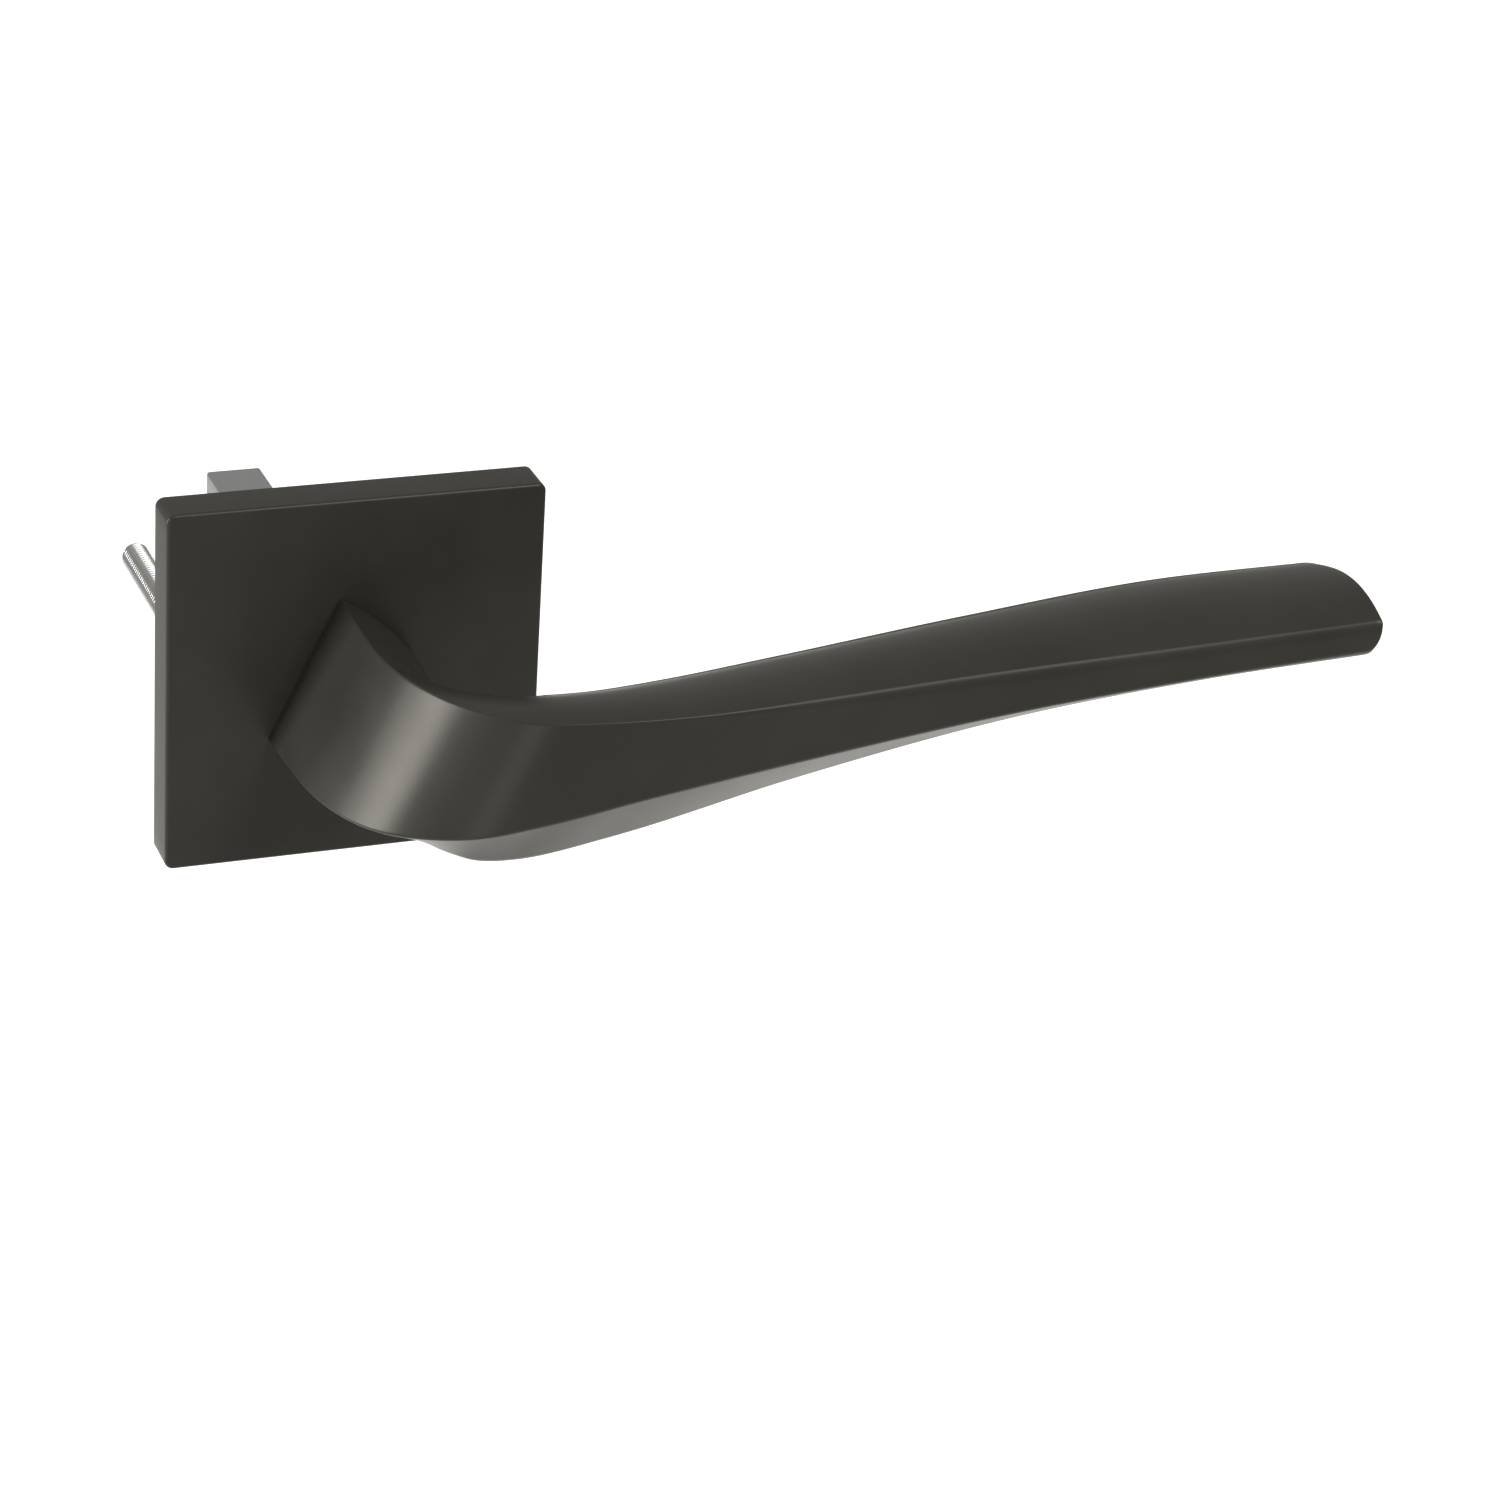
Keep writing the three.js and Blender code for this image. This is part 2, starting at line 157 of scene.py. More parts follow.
def front(node):
    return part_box(node)[0].y


def back(node):
    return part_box(node)[1].y


def middle(node):
    low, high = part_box(node)
    return (low + high) / 2


def on_both_sides(part):
    return f"{part}_left", f"{part}_right"


class LeverSettings(PropertyGroup):
    crease_height: length("Crease height", "Height of the crease above the spindle's axis", 0.012)
    crisp: length("Crisp edge", "How far the crease and the foot edge are eased", 0.0004)
    edge: length("Soft edge", "How far the top and back edges are rounded", 0.0014)
    root_edge: length("Root edge", "Rounding of the end that faces the rose", 0.0001)
    rings: count("Rings", "Sections between the rose and the tip", 280)
    journal: length("Journal radius", "Radius of the round end that turns in the bush", 0.007)
    groove: length("Groove radius", "Radius at the bottom of the retaining ring's groove", 0.0064)
    groove_front: length("Groove front", "Where the retaining ring's groove starts", 0.0016)
    groove_back: length("Groove back", "Where the retaining ring's groove ends", 0.0029)
    socket: length("Socket", "Width of the square socket for the spindle", 0.0084)
    socket_front: length("Socket end", "Where the square socket ends", front("spindle") - 0.002)
    flat: length("Driver flats", "Distance of the driver's flats from the axis", 0.0064)


class RoseSettings(PropertyGroup):
    half: length("Half width", "Half the width of the square cover", reach("rose_cover"))
    depth: length("Depth", "How far the cover stands out from the door", -front("rose_cover"))
    skin: length("Skin", "Thickness of the cover", 0.0011)
    edge: length("Edge radius", "Rounding of the front edges", 0.0005)
    corner: length("Corner radius", "Rounding of the four corners, seen from the front", 0.0012)
    hole: length("Hole radius", "Radius of the hole for the journal", 0.00725)


class PlateSettings(PropertyGroup):
    half: length("Half width", "Half the width of the square plate", reach("base_plate"))
    thickness: length("Thickness", "Thickness of the plate", 0.0012)
    corner: length("Corner radius", "Rounding of the four corners", 0.002)
    rim_inner: length("Rim inner radius", "Inside of the raised rim round the spring", 0.0141)
    rim_outer: length("Rim outer radius", "Outside of the raised rim round the spring", 0.0151)
    bore: length("Bore radius", "Radius of the hole that holds the bush", 0.0095)
    play: length("Play", "Clearance round a screw or a pin", 0.0003)


class SpringSettings(PropertyGroup):
    mean: length("Mean radius", "Radius of the middle of the wire", 0.0108)
    radial: length("Wire width", "Width of the flat wire, outwards", 0.0016)
    axial: length("Wire thickness", "Thickness of the flat wire, along the axis", 0.0009)
    pitch: length("Pitch", "Distance between one turn and the next", 0.001)
    turns: FloatProperty(name="Turns", description="Number of turns of the wire", default=1.7, min=0.5)
    front: length("Front leg", "Where the front leg lies", -0.0035)
    leg: length("Leg", "How far each leg runs outwards", 0.003)
    bend: length("Bend", "Radius of the bend between a turn and its leg", 0.0011)


class DriverSettings(PropertyGroup):
    radius: length("Radius", "Radius of the disc", 0.0098)
    at: angle("Direction", "Direction of the arm, from +X towards +Z", 100)
    arm_reach: length("Arm reach", "How far the arm goes from the axis", 0.0136)
    arm_half: length("Arm half width", "Half the width of the arm", 0.0022)
    tab_inner: length("Tab start", "Distance from the axis at which the tab starts", 0.012)
    tab_half: length("Tab half width", "Half the width of the tab", 0.0008)
    thickness: length("Thickness", "Thickness of the sheet", 0.00075)


class ScrewSettings(PropertyGroup):
    radius: length("Radius", "Radius of the fixing screws' thread", 0.002)
    pitch: length("Pitch", "Pitch of the fixing screws' thread", 0.0007)
    head_depth: length("Head depth", "Depth of the fixing screws' heads", 0.0016)
    recess: length("Recess arm", "Width of one arm of the cross recess", 0.0008)
    grub_pitch: length("Grub screw pitch", "Pitch of the grub screw's thread", 0.001)
    key: length("Key size", "Distance from the middle of the key's hexagon to a corner", 0.0015)


class FinishSettings(PropertyGroup):
    coating: colour("Coating", "Satin black coating of the lever and the rose", (0.0345, 0.0333, 0.0281))
    coating_roughness: share("Coating roughness", "How dull the black coating is", 0.33)
    zinc: colour("Zinc casting", "Bare zinc alloy of the plate and the posts", (0.47, 0.46, 0.42))
    nylon: colour("Nylon", "Natural nylon of the bush and the thrust washer", (0.72, 0.7, 0.6))
    plating: colour("Plating", "Bright zinc plating of the screws, pins and spindle", (0.5, 0.505, 0.51))
    oxide: colour("Black oxide", "Blackened steel of the grub screw", (0.035, 0.035, 0.038))
    spring: colour("Spring steel", "Oiled spring steel", (0.26, 0.265, 0.275))


class StageSettings(PropertyGroup):
    camera: FloatVectorProperty(
        name="Camera", description="Place of the camera",
        default=(-0.1589, -0.5331, 0.2609), subtype="XYZ", size=3
    )
    yaw: angle("Yaw", "How far the camera turns from the door's inward direction towards +X", 22.38)
    pitch: angle("Pitch", "How far the camera looks down", 26.05)
    roll: angle("Roll", "How far the camera leans", 3.95)
    lens: FloatProperty(
        name="Lens", description="Focal length", default=108.3, min=10.0, subtype="DISTANCE_CAMERA"
    )
    floor: length("Floor", "Height of the floor", -0.42)
    wash_height: length("Floor light's height", "How far the floor's light is above the floor", 0.2)
    floor_colour: colour("Floor colour", "Colour of the floor", (0.86, 0.86, 0.86))
    room: strength("Room light", "Brightness of the room", 0.39)
    key: strength("Key light", "Power of the softbox beside the neck", 9.4)
    fill: strength("Front light", "Power of the softbox in front of the grip", 1.0)
    top: strength("Top light", "Power of the softbox above the grip", 4.6)
    wash: strength("Floor light", "Power of the light that shines down on the floor", 8.8)
    light_colour: colour("Light colour", "Colour of the room and its lights", (1.0, 0.98, 0.945))


class HandleSettings(PropertyGroup):
    lever: PointerProperty(type=LeverSettings, name="Lever", description="Sizes of the lever")
    rose: PointerProperty(type=RoseSettings, name="Rose", description="Sizes of the rose's cover")
    plate: PointerProperty(type=PlateSettings, name="Plate", description="Sizes of the base plate")
    spring: PointerProperty(type=SpringSettings, name="Spring", description="Sizes of the return spring")
    driver: PointerProperty(type=DriverSettings, name="Driver", description="Sizes of the driver")
    screw: PointerProperty(type=ScrewSettings, name="Screws", description="Sizes of the screws")
    finish: PointerProperty(type=FinishSettings, name="Finishes", description="Colours of the materials")
    stage: PointerProperty(type=StageSettings, name="Stage", description="Camera, lights and floor")


# Node trees

class Tree:
    """A short way to write a node tree: an input is a value or another node's output."""

    def __init__(self, tree):
        self.tree = tree

    def add(self, kind, inputs=None, **settings):
        node = self.tree.nodes.new(kind)
        for name, value in settings.items():
            setattr(node, name, value)
        for key, value in (inputs or {}).items():
            if isinstance(value, bpy.types.NodeSocket):
                self.tree.links.new(value, node.inputs[key])
            else:
                node.inputs[key].default_value = value
        return node

    def math(self, operation, *values):
        return self.add("ShaderNodeMath", dict(enumerate(values)), operation=operation).outputs[0]

    def ramp(self, value, low, high, start=0.0, end=1.0):
        """A number that runs from start to end as the value runs from low to high."""
        inputs = {"Value": value, "From Min": low, "From Max": high, "To Min": start, "To Max": end}
        return self.add("ShaderNodeMapRange", inputs).outputs["Result"]

    def placed(self, geometry, x, y, z):
        """Geometry whose points are moved to these places."""
        place = self.add("ShaderNodeCombineXYZ", {0: x, 1: y, 2: z}).outputs[0]
        return self.add("GeometryNodeSetPosition", {"Geometry": geometry, "Position": place}).outputs[0]


# Materials

class Finish(Tree):
    """A material whose patterns are placed by the piece's own coordinates."""

    def __init__(self, name):
        self.material = bpy.data.materials.new(name)
        self.material.use_nodes = True
        super().__init__(self.material.node_tree)
        self.tree.nodes.clear()
        self.place = self.add("ShaderNodeTexCoord").outputs["Object"]

    def stretched(self, scale):
        return self.add("ShaderNodeMapping", {"Vector": self.place, "Scale": scale}).outputs["Vector"]

    def noise(self, size, detail=3.0, place=None):
        """Noise whose patches are about this size."""
        inputs = {"Vector": place or self.place, "Scale": 1 / size, "Detail": detail}
        return self.add("ShaderNodeTexNoise", inputs).outputs["Fac"]

    def between(self, pattern, low, high):
        """A number that runs from low to high as the pattern runs over its usual range."""
        return self.ramp(pattern, 0.3, 0.7, low, high)

    def blend(self, pattern, first, second):
        """A colour that runs from the first to the second as the pattern runs over its usual range."""
        # Sockets 6 and 7 are the Mix node's two colours, and output 2 is its colour
        inputs = {0: self.between(pattern, 0.0, 1.0), 6: (*first, 1.0), 7: (*second, 1.0)}
        return self.add("ShaderNodeMix", inputs, data_type="RGBA").outputs[2]

    def varied(self, pattern, tint, darkest, lightest):
        return self.blend(pattern, shade_of(tint, darkest), shade_of(tint, lightest))

    def bump(self, pattern, height, normal=None):
        inputs = {"Height": pattern, "Strength": 1.0, "Distance": height}
        if normal:
            inputs["Normal"] = normal
        return self.add("ShaderNodeBump", inputs).outputs["Normal"]

    def surface(self, **inputs):
        named = {name.replace("_", " "): value for name, value in inputs.items()}
        shader = self.add("ShaderNodeBsdfPrincipled", named)
        output = self.add("ShaderNodeOutputMaterial")
        self.tree.links.new(shader.outputs[0], output.inputs["Surface"])
        return self.material


def shade_of(tint, *factors):
    """A colour times one factor, or times one for each channel."""
    return tuple(channel * factor for channel, factor in zip(tint, factors * 3))


def satin_black(finish):
    """Powder coating: almost smooth, with a fine grain and a little unevenness in its gloss."""
    made = Finish("satin_black_coating")
    drift = made.noise(0.011, 2.0)
    dull = finish.coating_roughness
    grain = made.bump(made.noise(0.00035, 2.0), 0.000005)
    return made.surface(
        Base_Color=made.varied(drift, finish.coating, 0.92, 1.08),
        Roughness=made.between(drift, dull - 0.02, dull + 0.025),
        IOR=1.35,
        Specular_Tint=(1.0, 0.975, 0.92, 1.0),
        Normal=made.bump(made.noise(0.004, 1.0), 0.000004, grain),
    )


def zinc_casting(finish):
    """Bare die casting: dull grey metal with flow marks and a slightly orange-peel skin."""
    made = Finish("zinc_casting")
    clouds = made.noise(0.006, 5.0)
    return made.surface(
        Base_Color=made.varied(clouds, finish.zinc, 0.82, 1.1),
        Metallic=0.9,
        Roughness=made.between(made.noise(0.003), 0.4, 0.56),
        Normal=made.bump(made.noise(0.0007), 0.000025),
    )


def nylon(finish):
    made = Finish("natural_nylon")
    clouds = made.noise(0.003)
    return made.surface(
        Base_Color=made.varied(clouds, finish.nylon, 0.94, 1.04),
        Roughness=made.between(clouds, 0.42, 0.52),
        Subsurface_Weight=0.15,
        Subsurface_Scale=0.001,
        Normal=made.bump(made.noise(0.0003), 0.000006),
    )


def plated_steel(finish):
    """Bright zinc plating: a cool metal with faint warm and cold patches and drawing lines along the axis."""
    made = Finish("zinc_plated_steel")
    lines = made.noise(0.0004, 2.0, made.stretched((1.0, 0.04, 1.0)))
    patches = made.noise(0.004, 2.0)
    cold = shade_of(finish.plating, 0.9, 0.96, 1.04)
    warm = shade_of(finish.plating, 1.05, 1.02, 0.93)
    return made.surface(
        Base_Color=made.blend(patches, cold, warm),
        Metallic=1.0,
        Roughness=made.between(lines, 0.24, 0.36),
        Normal=made.bump(lines, 0.0000015),
    )


def black_oxide(finish):
    made = Finish("black_oxide_steel")
    patches = made.noise(0.0015)
    return made.surface(
        Base_Color=made.varied(patches, finish.oxide, 1.0, 1.7),
        Metallic=0.8,
        Roughness=made.between(patches, 0.34, 0.5),
        Normal=made.bump(made.noise(0.0002), 0.000005),
    )


def spring_steel(finish):
    """Hardened strip: dark and oily, with rolling lines and straw-coloured patches."""
    made = Finish("oiled_spring_steel")
    lines = made.noise(0.0003, 2.0, made.stretched((1.0, 0.15, 1.0)))
    patches = made.noise(0.005)
    straw = shade_of(finish.spring, 1.12, 1.0, 0.8)
    return made.surface(
        Base_Color=made.blend(patches, finish.spring, straw),
        Metallic=1.0,
        Roughness=made.between(lines, 0.22, 0.36),
        Coat_Weight=0.2,
        Normal=made.bump(lines, 0.000005),
    )


FINISHES = {
    "lever_finish": satin_black,
    "rose_finish": satin_black,
    "zinc_casting": zinc_casting,
    "nylon": nylon,
    "plated_steel": plated_steel,
    "black_steel": black_oxide,
    "spring_steel": spring_steel,
}


def finish_for(slot):
    """The material of a slot, made the first time that it is asked for."""
    maker = FINISHES[slot]
    known = {material.get("maker"): material for material in bpy.data.materials}
    if maker.__name__ not in known:
        known[maker.__name__] = maker(bpy.context.scene.lever_handle.finish)
        known[maker.__name__]["maker"] = maker.__name__
    return known[maker.__name__]


# Outlines

def unit(vector):
    return vector / np.linalg.norm(vector)


def arc_curve(start, control, end, shares):
    """Points on the curve from start to end that heads for the control point at both ends."""
    t = np.asarray(shares)[:, None]
    return (1 - t) ** 2 * start + 2 * t * (1 - t) * control + t**2 * end


def crowded_shares(steps):
    """Shares of a line that lie closer together towards its ends, without the ends."""
    return (1 - np.cos(np.pi * np.arange(1, steps) / steps)) / 2


def soft_corner(before, corner, after, distance, steps):
    """Rounds a corner with a curve that starts and ends this far from it, where its sides are long enough."""
    shorter_side = min(np.linalg.norm(before - corner), np.linalg.norm(after - corner))
    distance = min(distance, 0.45 * shorter_side)
    start = corner + unit(before - corner) * distance
    end = corner + unit(after - corner) * distance
    return arc_curve(start, corner, end, np.linspace(0, 1, steps + 1))


def eased(corners, distance, steps=4):
    """A closed outline with all its corners rounded."""
    points = [np.asarray(corner, float) for corner in corners]
    pieces = []
    for i, corner in enumerate(points):
        after = points[(i + 1) % len(points)]
        pieces.append(soft_corner(points[i - 1], corner, after, distance, steps))
    return np.vstack(pieces)


def rounded_square(half, corner, y, corner_steps=6, side_steps=32):
    """A square loop round the spindle's axis, with its sides' points evenly spread as seen from the axis."""
    limit = math.atan2(half - corner, half)
    quarter = [(half, half * math.tan(turn)) for turn in np.linspace(-limit, limit, side_steps + 1)]
    for turn in np.linspace(0, math.pi / 2, corner_steps + 1)[1:-1]:
        centre = half - corner
        quarter.append((centre + corner * math.cos(turn), centre + corner * math.sin(turn)))
    points = []
    for c, s in ((1, 0), (0, 1), (-1, 0), (0, -1)):
        points += [(x * c - z * s, y, x * s + z * c) for x, z in quarter]
    return np.array(points)


def round_like(loop, radius, y):
    """A circle whose points lie in the same directions as the loop's."""
    directions = loop[:, [0, 2]] / np.linalg.norm(loop[:, [0, 2]], axis=1)[:, None]
    return np.column_stack([directions[:, 0] * radius, np.full(len(loop), y), directions[:, 1] * radius])


def between_loops(first, last, steps):
    """Loops that lie evenly between two others, without them."""
    return [first + (last - first) * k / steps for k in range(1, steps)]


# Meshes

def close_up(mesh):
    """Merges doubled vertices and points the faces outwards."""
    shape = bmesh.new()
    shape.from_mesh(mesh)
    bmesh.ops.remove_doubles(shape, verts=shape.verts, dist=1e-7)
    bmesh.ops.recalc_face_normals(shape, faces=shape.faces)
    shape.to_mesh(mesh)
    shape.free()


def in_scene(name, data):
    obj = bpy.data.objects.new(name, data)
    bpy.context.scene.collection.objects.link(obj)
    return obj


def new_object(name, vertices=(), faces=()):
    """An object with this mesh, its vertices merged and its faces pointing outwards."""
    mesh = bpy.data.meshes.new(name)
    mesh.from_pydata([tuple(map(float, vertex)) for vertex in vertices], [], faces)
    close_up(mesh)
    return in_scene(name, mesh)


def skin(name, loops, closed=False):
    """Skins a stack of loops. A closed stack joins its last loop to its first, and an open one is capped."""
    rows = np.asarray(loops)
    total, around = rows.shape[:2]
    vertices = list(rows.reshape(-1, 3))
    faces = []
    for row in range(total if closed else total - 1):
        low, high = row * around, (row + 1) % total * around
        for column in range(around):
            following = (column + 1) % around
            faces.append((low + column, low + following, high + following, high + column))
    if not closed:
        for row in (0, total - 1):
            centre = len(vertices)
            vertices.append(rows[row].mean(axis=0))
            base = row * around
            faces += [(centre, base + k, base + (k + 1) % around) for k in range(around)]
    return new_object(name, vertices, faces)


def lathe(name, profile, centre=(0.0, 0.0), bored=True, sides=96, wave=None):
    """Turns a profile of (radius, y) points about an axis along Y. wave gives an angle's shift along Y."""
    turns = np.linspace(0, 2 * math.pi, sides, endpoint=False)
    shift = wave(turns) if wave else 0 * turns
    loops = [
        np.column_stack([centre[0] + radius * np.cos(turns), y + shift, centre[1] + radius * np.sin(turns)])
        for radius, y in profile
    ]
    return skin(name, loops, closed=bored)


def ring_profile(inner, outer, start, end, ease):
    return eased([(inner, start), (outer, start), (outer, end), (inner, end)], ease)


def rod_profile(radius, start, end, ease):
    """A solid rod's profile, without its two ends on the axis."""
    opening = [
        (radius - ease + ease * math.sin(turn), start + ease - ease * math.cos(turn))
        for turn in np.linspace(0, math.pi / 2, 5)
    ]
    closing = [(r, start + end - y) for r, y in reversed(opening)]
    return opening + closing


def block(name, low, high):
    """A box between two corners."""
    corners = [(x, y, z) for x in (low[0], high[0]) for y in (low[1], high[1]) for z in (low[2], high[2])]
    faces = [(0, 1, 3, 2), (4, 6, 7, 5), (0, 4, 5, 1), (2, 3, 7, 6), (0, 2, 6, 4), (1, 5, 7, 3)]
    return new_object(name, corners, faces)


def blocks_beyond(near, far, start, end):
    """Two blocks, one on each side of the spindle's axis, that cut a flat this near to it."""
    return [
        block("beside_flat", (low, start, -far), (high, end, far))
        for low, high in ((-far, -near), (near, far))
    ]


def prism(name, outline, direction):
    """Pushes a closed outline of points along a direction."""
    points = np.asarray(outline)
    return skin(name, [points, points + np.asarray(direction)])


def put(obj, x=0.0, y=0.0, z=0.0, quarters=0):
    """Turns a mesh about X, by quarter turns from +Y towards +Z, and then moves it."""
    obj.data.transform(Matrix.Translation((x, y, z)) @ Matrix.Rotation(quarters * math.pi / 2, 4, "X"))
    return obj


def turn_about_spindle(obj, turn):
    """Turns a mesh about the spindle's axis, from +X towards +Z."""
    obj.data.transform(Matrix.Rotation(-turn, 4, "Y"))
    return obj


def settle(obj):
    """Turns an object's modifiers into plain mesh."""
    depsgraph = bpy.context.evaluated_depsgraph_get()
    mesh = bpy.data.meshes.new_from_object(obj.evaluated_get(depsgraph))
    spent = obj.data
    obj.modifiers.clear()
    obj.data = mesh
    bpy.data.meshes.remove(spent)
    return obj


def combine(obj, tools, operation):
    """Joins tools to an object or cuts them from it, and removes them."""
    for tool in tools:
        modifier = obj.modifiers.new("combine", "BOOLEAN")
        modifier.solver = "MANIFOLD"
        modifier.operation = operation
        modifier.object = tool
    settle(obj)
    for tool in tools:
        spent = tool.data
        bpy.data.objects.remove(tool)
        bpy.data.meshes.remove(spent)
    return obj


def join(obj, *tools):
    return combine(obj, tools, "UNION")


def cut(obj, *tools):
    return combine(obj, tools, "DIFFERENCE")


def break_edges(obj, width, segments=2, limit=35):
    """Rounds the edges that are sharper than the limit, as tumbling does to a stamped part."""
    modifier = obj.modifiers.new("edges", "BEVEL")
    modifier.width = width
    modifier.segments = segments
    modifier.limit_method = "ANGLE"
    modifier.angle_limit = math.radians(limit)
    return settle(obj)


def shade(obj, crease=40):
    """Smooth shading, with the edges that are sharper than the crease left sharp."""
    obj.data.shade_smooth()
    obj.data.set_sharp_from_angle(angle=math.radians(crease))


def hand_over(obj, slot, node, crease=40):
    """Gives a finished piece its shading, its material and its body, and hides the node that it stands for.
    """
    shade(obj, crease)
    obj.data.materials.clear()
    obj.data.materials.append(finish_for(slot))
    bodies = frame["record"]["behaviour"]["bodies"]
    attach(obj, next(body for body, members in bodies.items() if node in members))
    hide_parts(node)


# Geometry Nodes

def geometry_tree(name, sizes, counts):
    """A tree with these named inputs and a material, the node that holds them, and their identifiers."""
    tree = bpy.data.node_groups.new(name, "GeometryNodeTree")
    tree.interface.new_socket("Geometry", in_out="OUTPUT", socket_type="NodeSocketGeometry")
    kinds = {"Float": sizes, "Int": counts, "Material": ["Material"]}
    identifiers = {}
    for kind, labels in kinds.items():
        for label in labels:
            socket = tree.interface.new_socket(label, in_out="INPUT", socket_type=f"NodeSocket{kind}")
            identifiers[label] = socket.identifier
    nodes = Tree(tree)
    return nodes, nodes.add("NodeGroupInput").outputs, identifiers


def end_tree(nodes, geometry, material):
    """Ends a tree with real geometry in this material."""
    realized = nodes.add("GeometryNodeRealizeInstances", {"Geometry": geometry}).outputs[0]
    painted = nodes.add("GeometryNodeSetMaterial", {"Geometry": realized, "Material": material}).outputs[0]
    output = nodes.add("NodeGroupOutput")
    nodes.tree.links.new(painted, output.inputs[0])


def grow(name, tree, identifiers, values):
    """The plain mesh that a tree makes from these values."""
    obj = new_object(name)
    modifier = obj.modifiers.new("shape", "NODES")
    modifier.node_group = tree
    for label, value in values.items():
        modifier[identifiers[label]] = value
    return settle(obj)


def thread_tree():
    """A threaded rod about the Z axis: a fine cylinder whose radius follows the thread's helix."""
    sizes = ("Radius", "Depth", "Pitch", "Length", "Run Out")
    nodes, given, identifiers = geometry_tree("Threaded Rod", sizes, ("Sides", "Rings"))
    cylinder = nodes.add(
        "GeometryNodeMeshCylinder",
        {
            "Vertices": given["Sides"], "Side Segments": given["Rings"],
            "Radius": given["Radius"], "Depth": given["Length"],
        },
        fill_type="TRIANGLE_FAN",
    ).outputs["Mesh"]
    place = nodes.add("GeometryNodeInputPosition").outputs[0]
    x, y, z = nodes.add("ShaderNodeSeparateXYZ", {0: place}).outputs
    turn = nodes.math("DIVIDE", nodes.math("ARCTAN2", y, x), 2 * math.pi)
    phase = nodes.math("FRACT", nodes.math("SUBTRACT", nodes.math("DIVIDE", z, given["Pitch"]), turn))
    ridge = nodes.math("ABSOLUTE", nodes.math("MULTIPLY_ADD", phase, 2.0, -1.0))
    # The thread is flat at its crest and at its root, for 0.12 of the way between them
    flanks = nodes.ramp(ridge, 0.12, 0.88, 1.0, 0.0)
    half = nodes.math("MULTIPLY", given["Length"], 0.5)
    from_end = nodes.math("SUBTRACT", half, nodes.math("ABSOLUTE", z))
    run_out = nodes.ramp(from_end, 0.0, given["Run Out"], 1.0, 0.0)
    drop = nodes.math("MULTIPLY", nodes.math("MAXIMUM", flanks, run_out), given["Depth"])
    scale = nodes.math("SUBTRACT", 1.0, nodes.math("DIVIDE", drop, given["Radius"]))
    threaded = nodes.placed(
        cylinder, nodes.math("MULTIPLY", x, scale), nodes.math("MULTIPLY", y, scale), z
    )
    end_tree(nodes, threaded, given["Material"])
    return nodes.tree, identifiers


def threaded_rod(name, radius, pitch, low, high, slot, sides=40, rings_per_turn=7):
    """A threaded rod about the Z axis, between two heights."""
    tree, identifiers = thread_tree()
    span = high - low
    obj = grow(name, tree, identifiers, {
        "Radius": radius,
        "Depth": 0.6 * pitch,
        "Pitch": pitch,
        "Length": span,
        "Run Out": 1.2 * pitch,
        "Sides": sides,
        "Rings": int(span / pitch * rings_per_turn),
        "Material": finish_for(slot),
    })
    return put(obj, z=(low + high) / 2)


def spring_tree():
    """A flat wire wound about the Z axis, with a straight leg outwards at each end."""
    sizes = (
        "Mean Radius", "Wire Width", "Wire Thickness", "Wire Edge", "Rise", "Sweep", "Start Angle", "Leg",
        "Leg Share", "Bend",
    )
    nodes, given, identifiers = geometry_tree("Flat Wire Spring", sizes, ("Steps",))
    line = nodes.add("GeometryNodeCurvePrimitiveLine").outputs[0]
    path = nodes.add("GeometryNodeResampleCurve", {"Curve": line, "Count": given["Steps"]}).outputs[0]
    along = nodes.add("GeometryNodeSplineParameter").outputs["Factor"]
    leg_share = given["Leg Share"]
    coil = nodes.ramp(along, leg_share, nodes.math("SUBTRACT", 1.0, leg_share))
    to_end = nodes.math("MINIMUM", along, nodes.math("SUBTRACT", 1.0, along))
    on_leg = nodes.math("MAXIMUM", nodes.math("SUBTRACT", leg_share, to_end), 0.0)
    outwards = nodes.math("MULTIPLY", nodes.math("DIVIDE", on_leg, leg_share), given["Leg"])
    radius = nodes.math("ADD", given["Mean Radius"], outwards)
    turn = nodes.math("SUBTRACT", given["Start Angle"], nodes.math("MULTIPLY", coil, given["Sweep"]))
    wound = nodes.placed(
        path,
        nodes.math("MULTIPLY", radius, nodes.math("COSINE", turn)),
        nodes.math("MULTIPLY", radius, nodes.math("SINE", turn)),
        nodes.math("MULTIPLY", coil, given["Rise"]),
    )
    bent = nodes.add(
        "GeometryNodeFilletCurve", {"Curve": wound, "Radius": given["Bend"], "Count": 6}, mode="POLY"
    )
    bent.inputs["Limit Radius"].default_value = True
    upright = nodes.add("GeometryNodeSetCurveNormal", {"Curve": bent.outputs[0]}, mode="Z_UP").outputs[0]
    wire = nodes.add(
        "GeometryNodeCurvePrimitiveQuadrilateral",
        {"Width": given["Wire Width"], "Height": given["Wire Thickness"]},
    ).outputs[0]
    round_wire = nodes.add(
        "GeometryNodeFilletCurve", {"Curve": wire, "Radius": given["Wire Edge"], "Count": 3}, mode="POLY"
    ).outputs[0]
    swept = nodes.add(
        "GeometryNodeCurveToMesh", {"Curve": upright, "Profile Curve": round_wire, "Fill Caps": True}
    ).outputs[0]
    end_tree(nodes, swept, given["Material"])
    return nodes.tree, identifiers


# The lever's shape

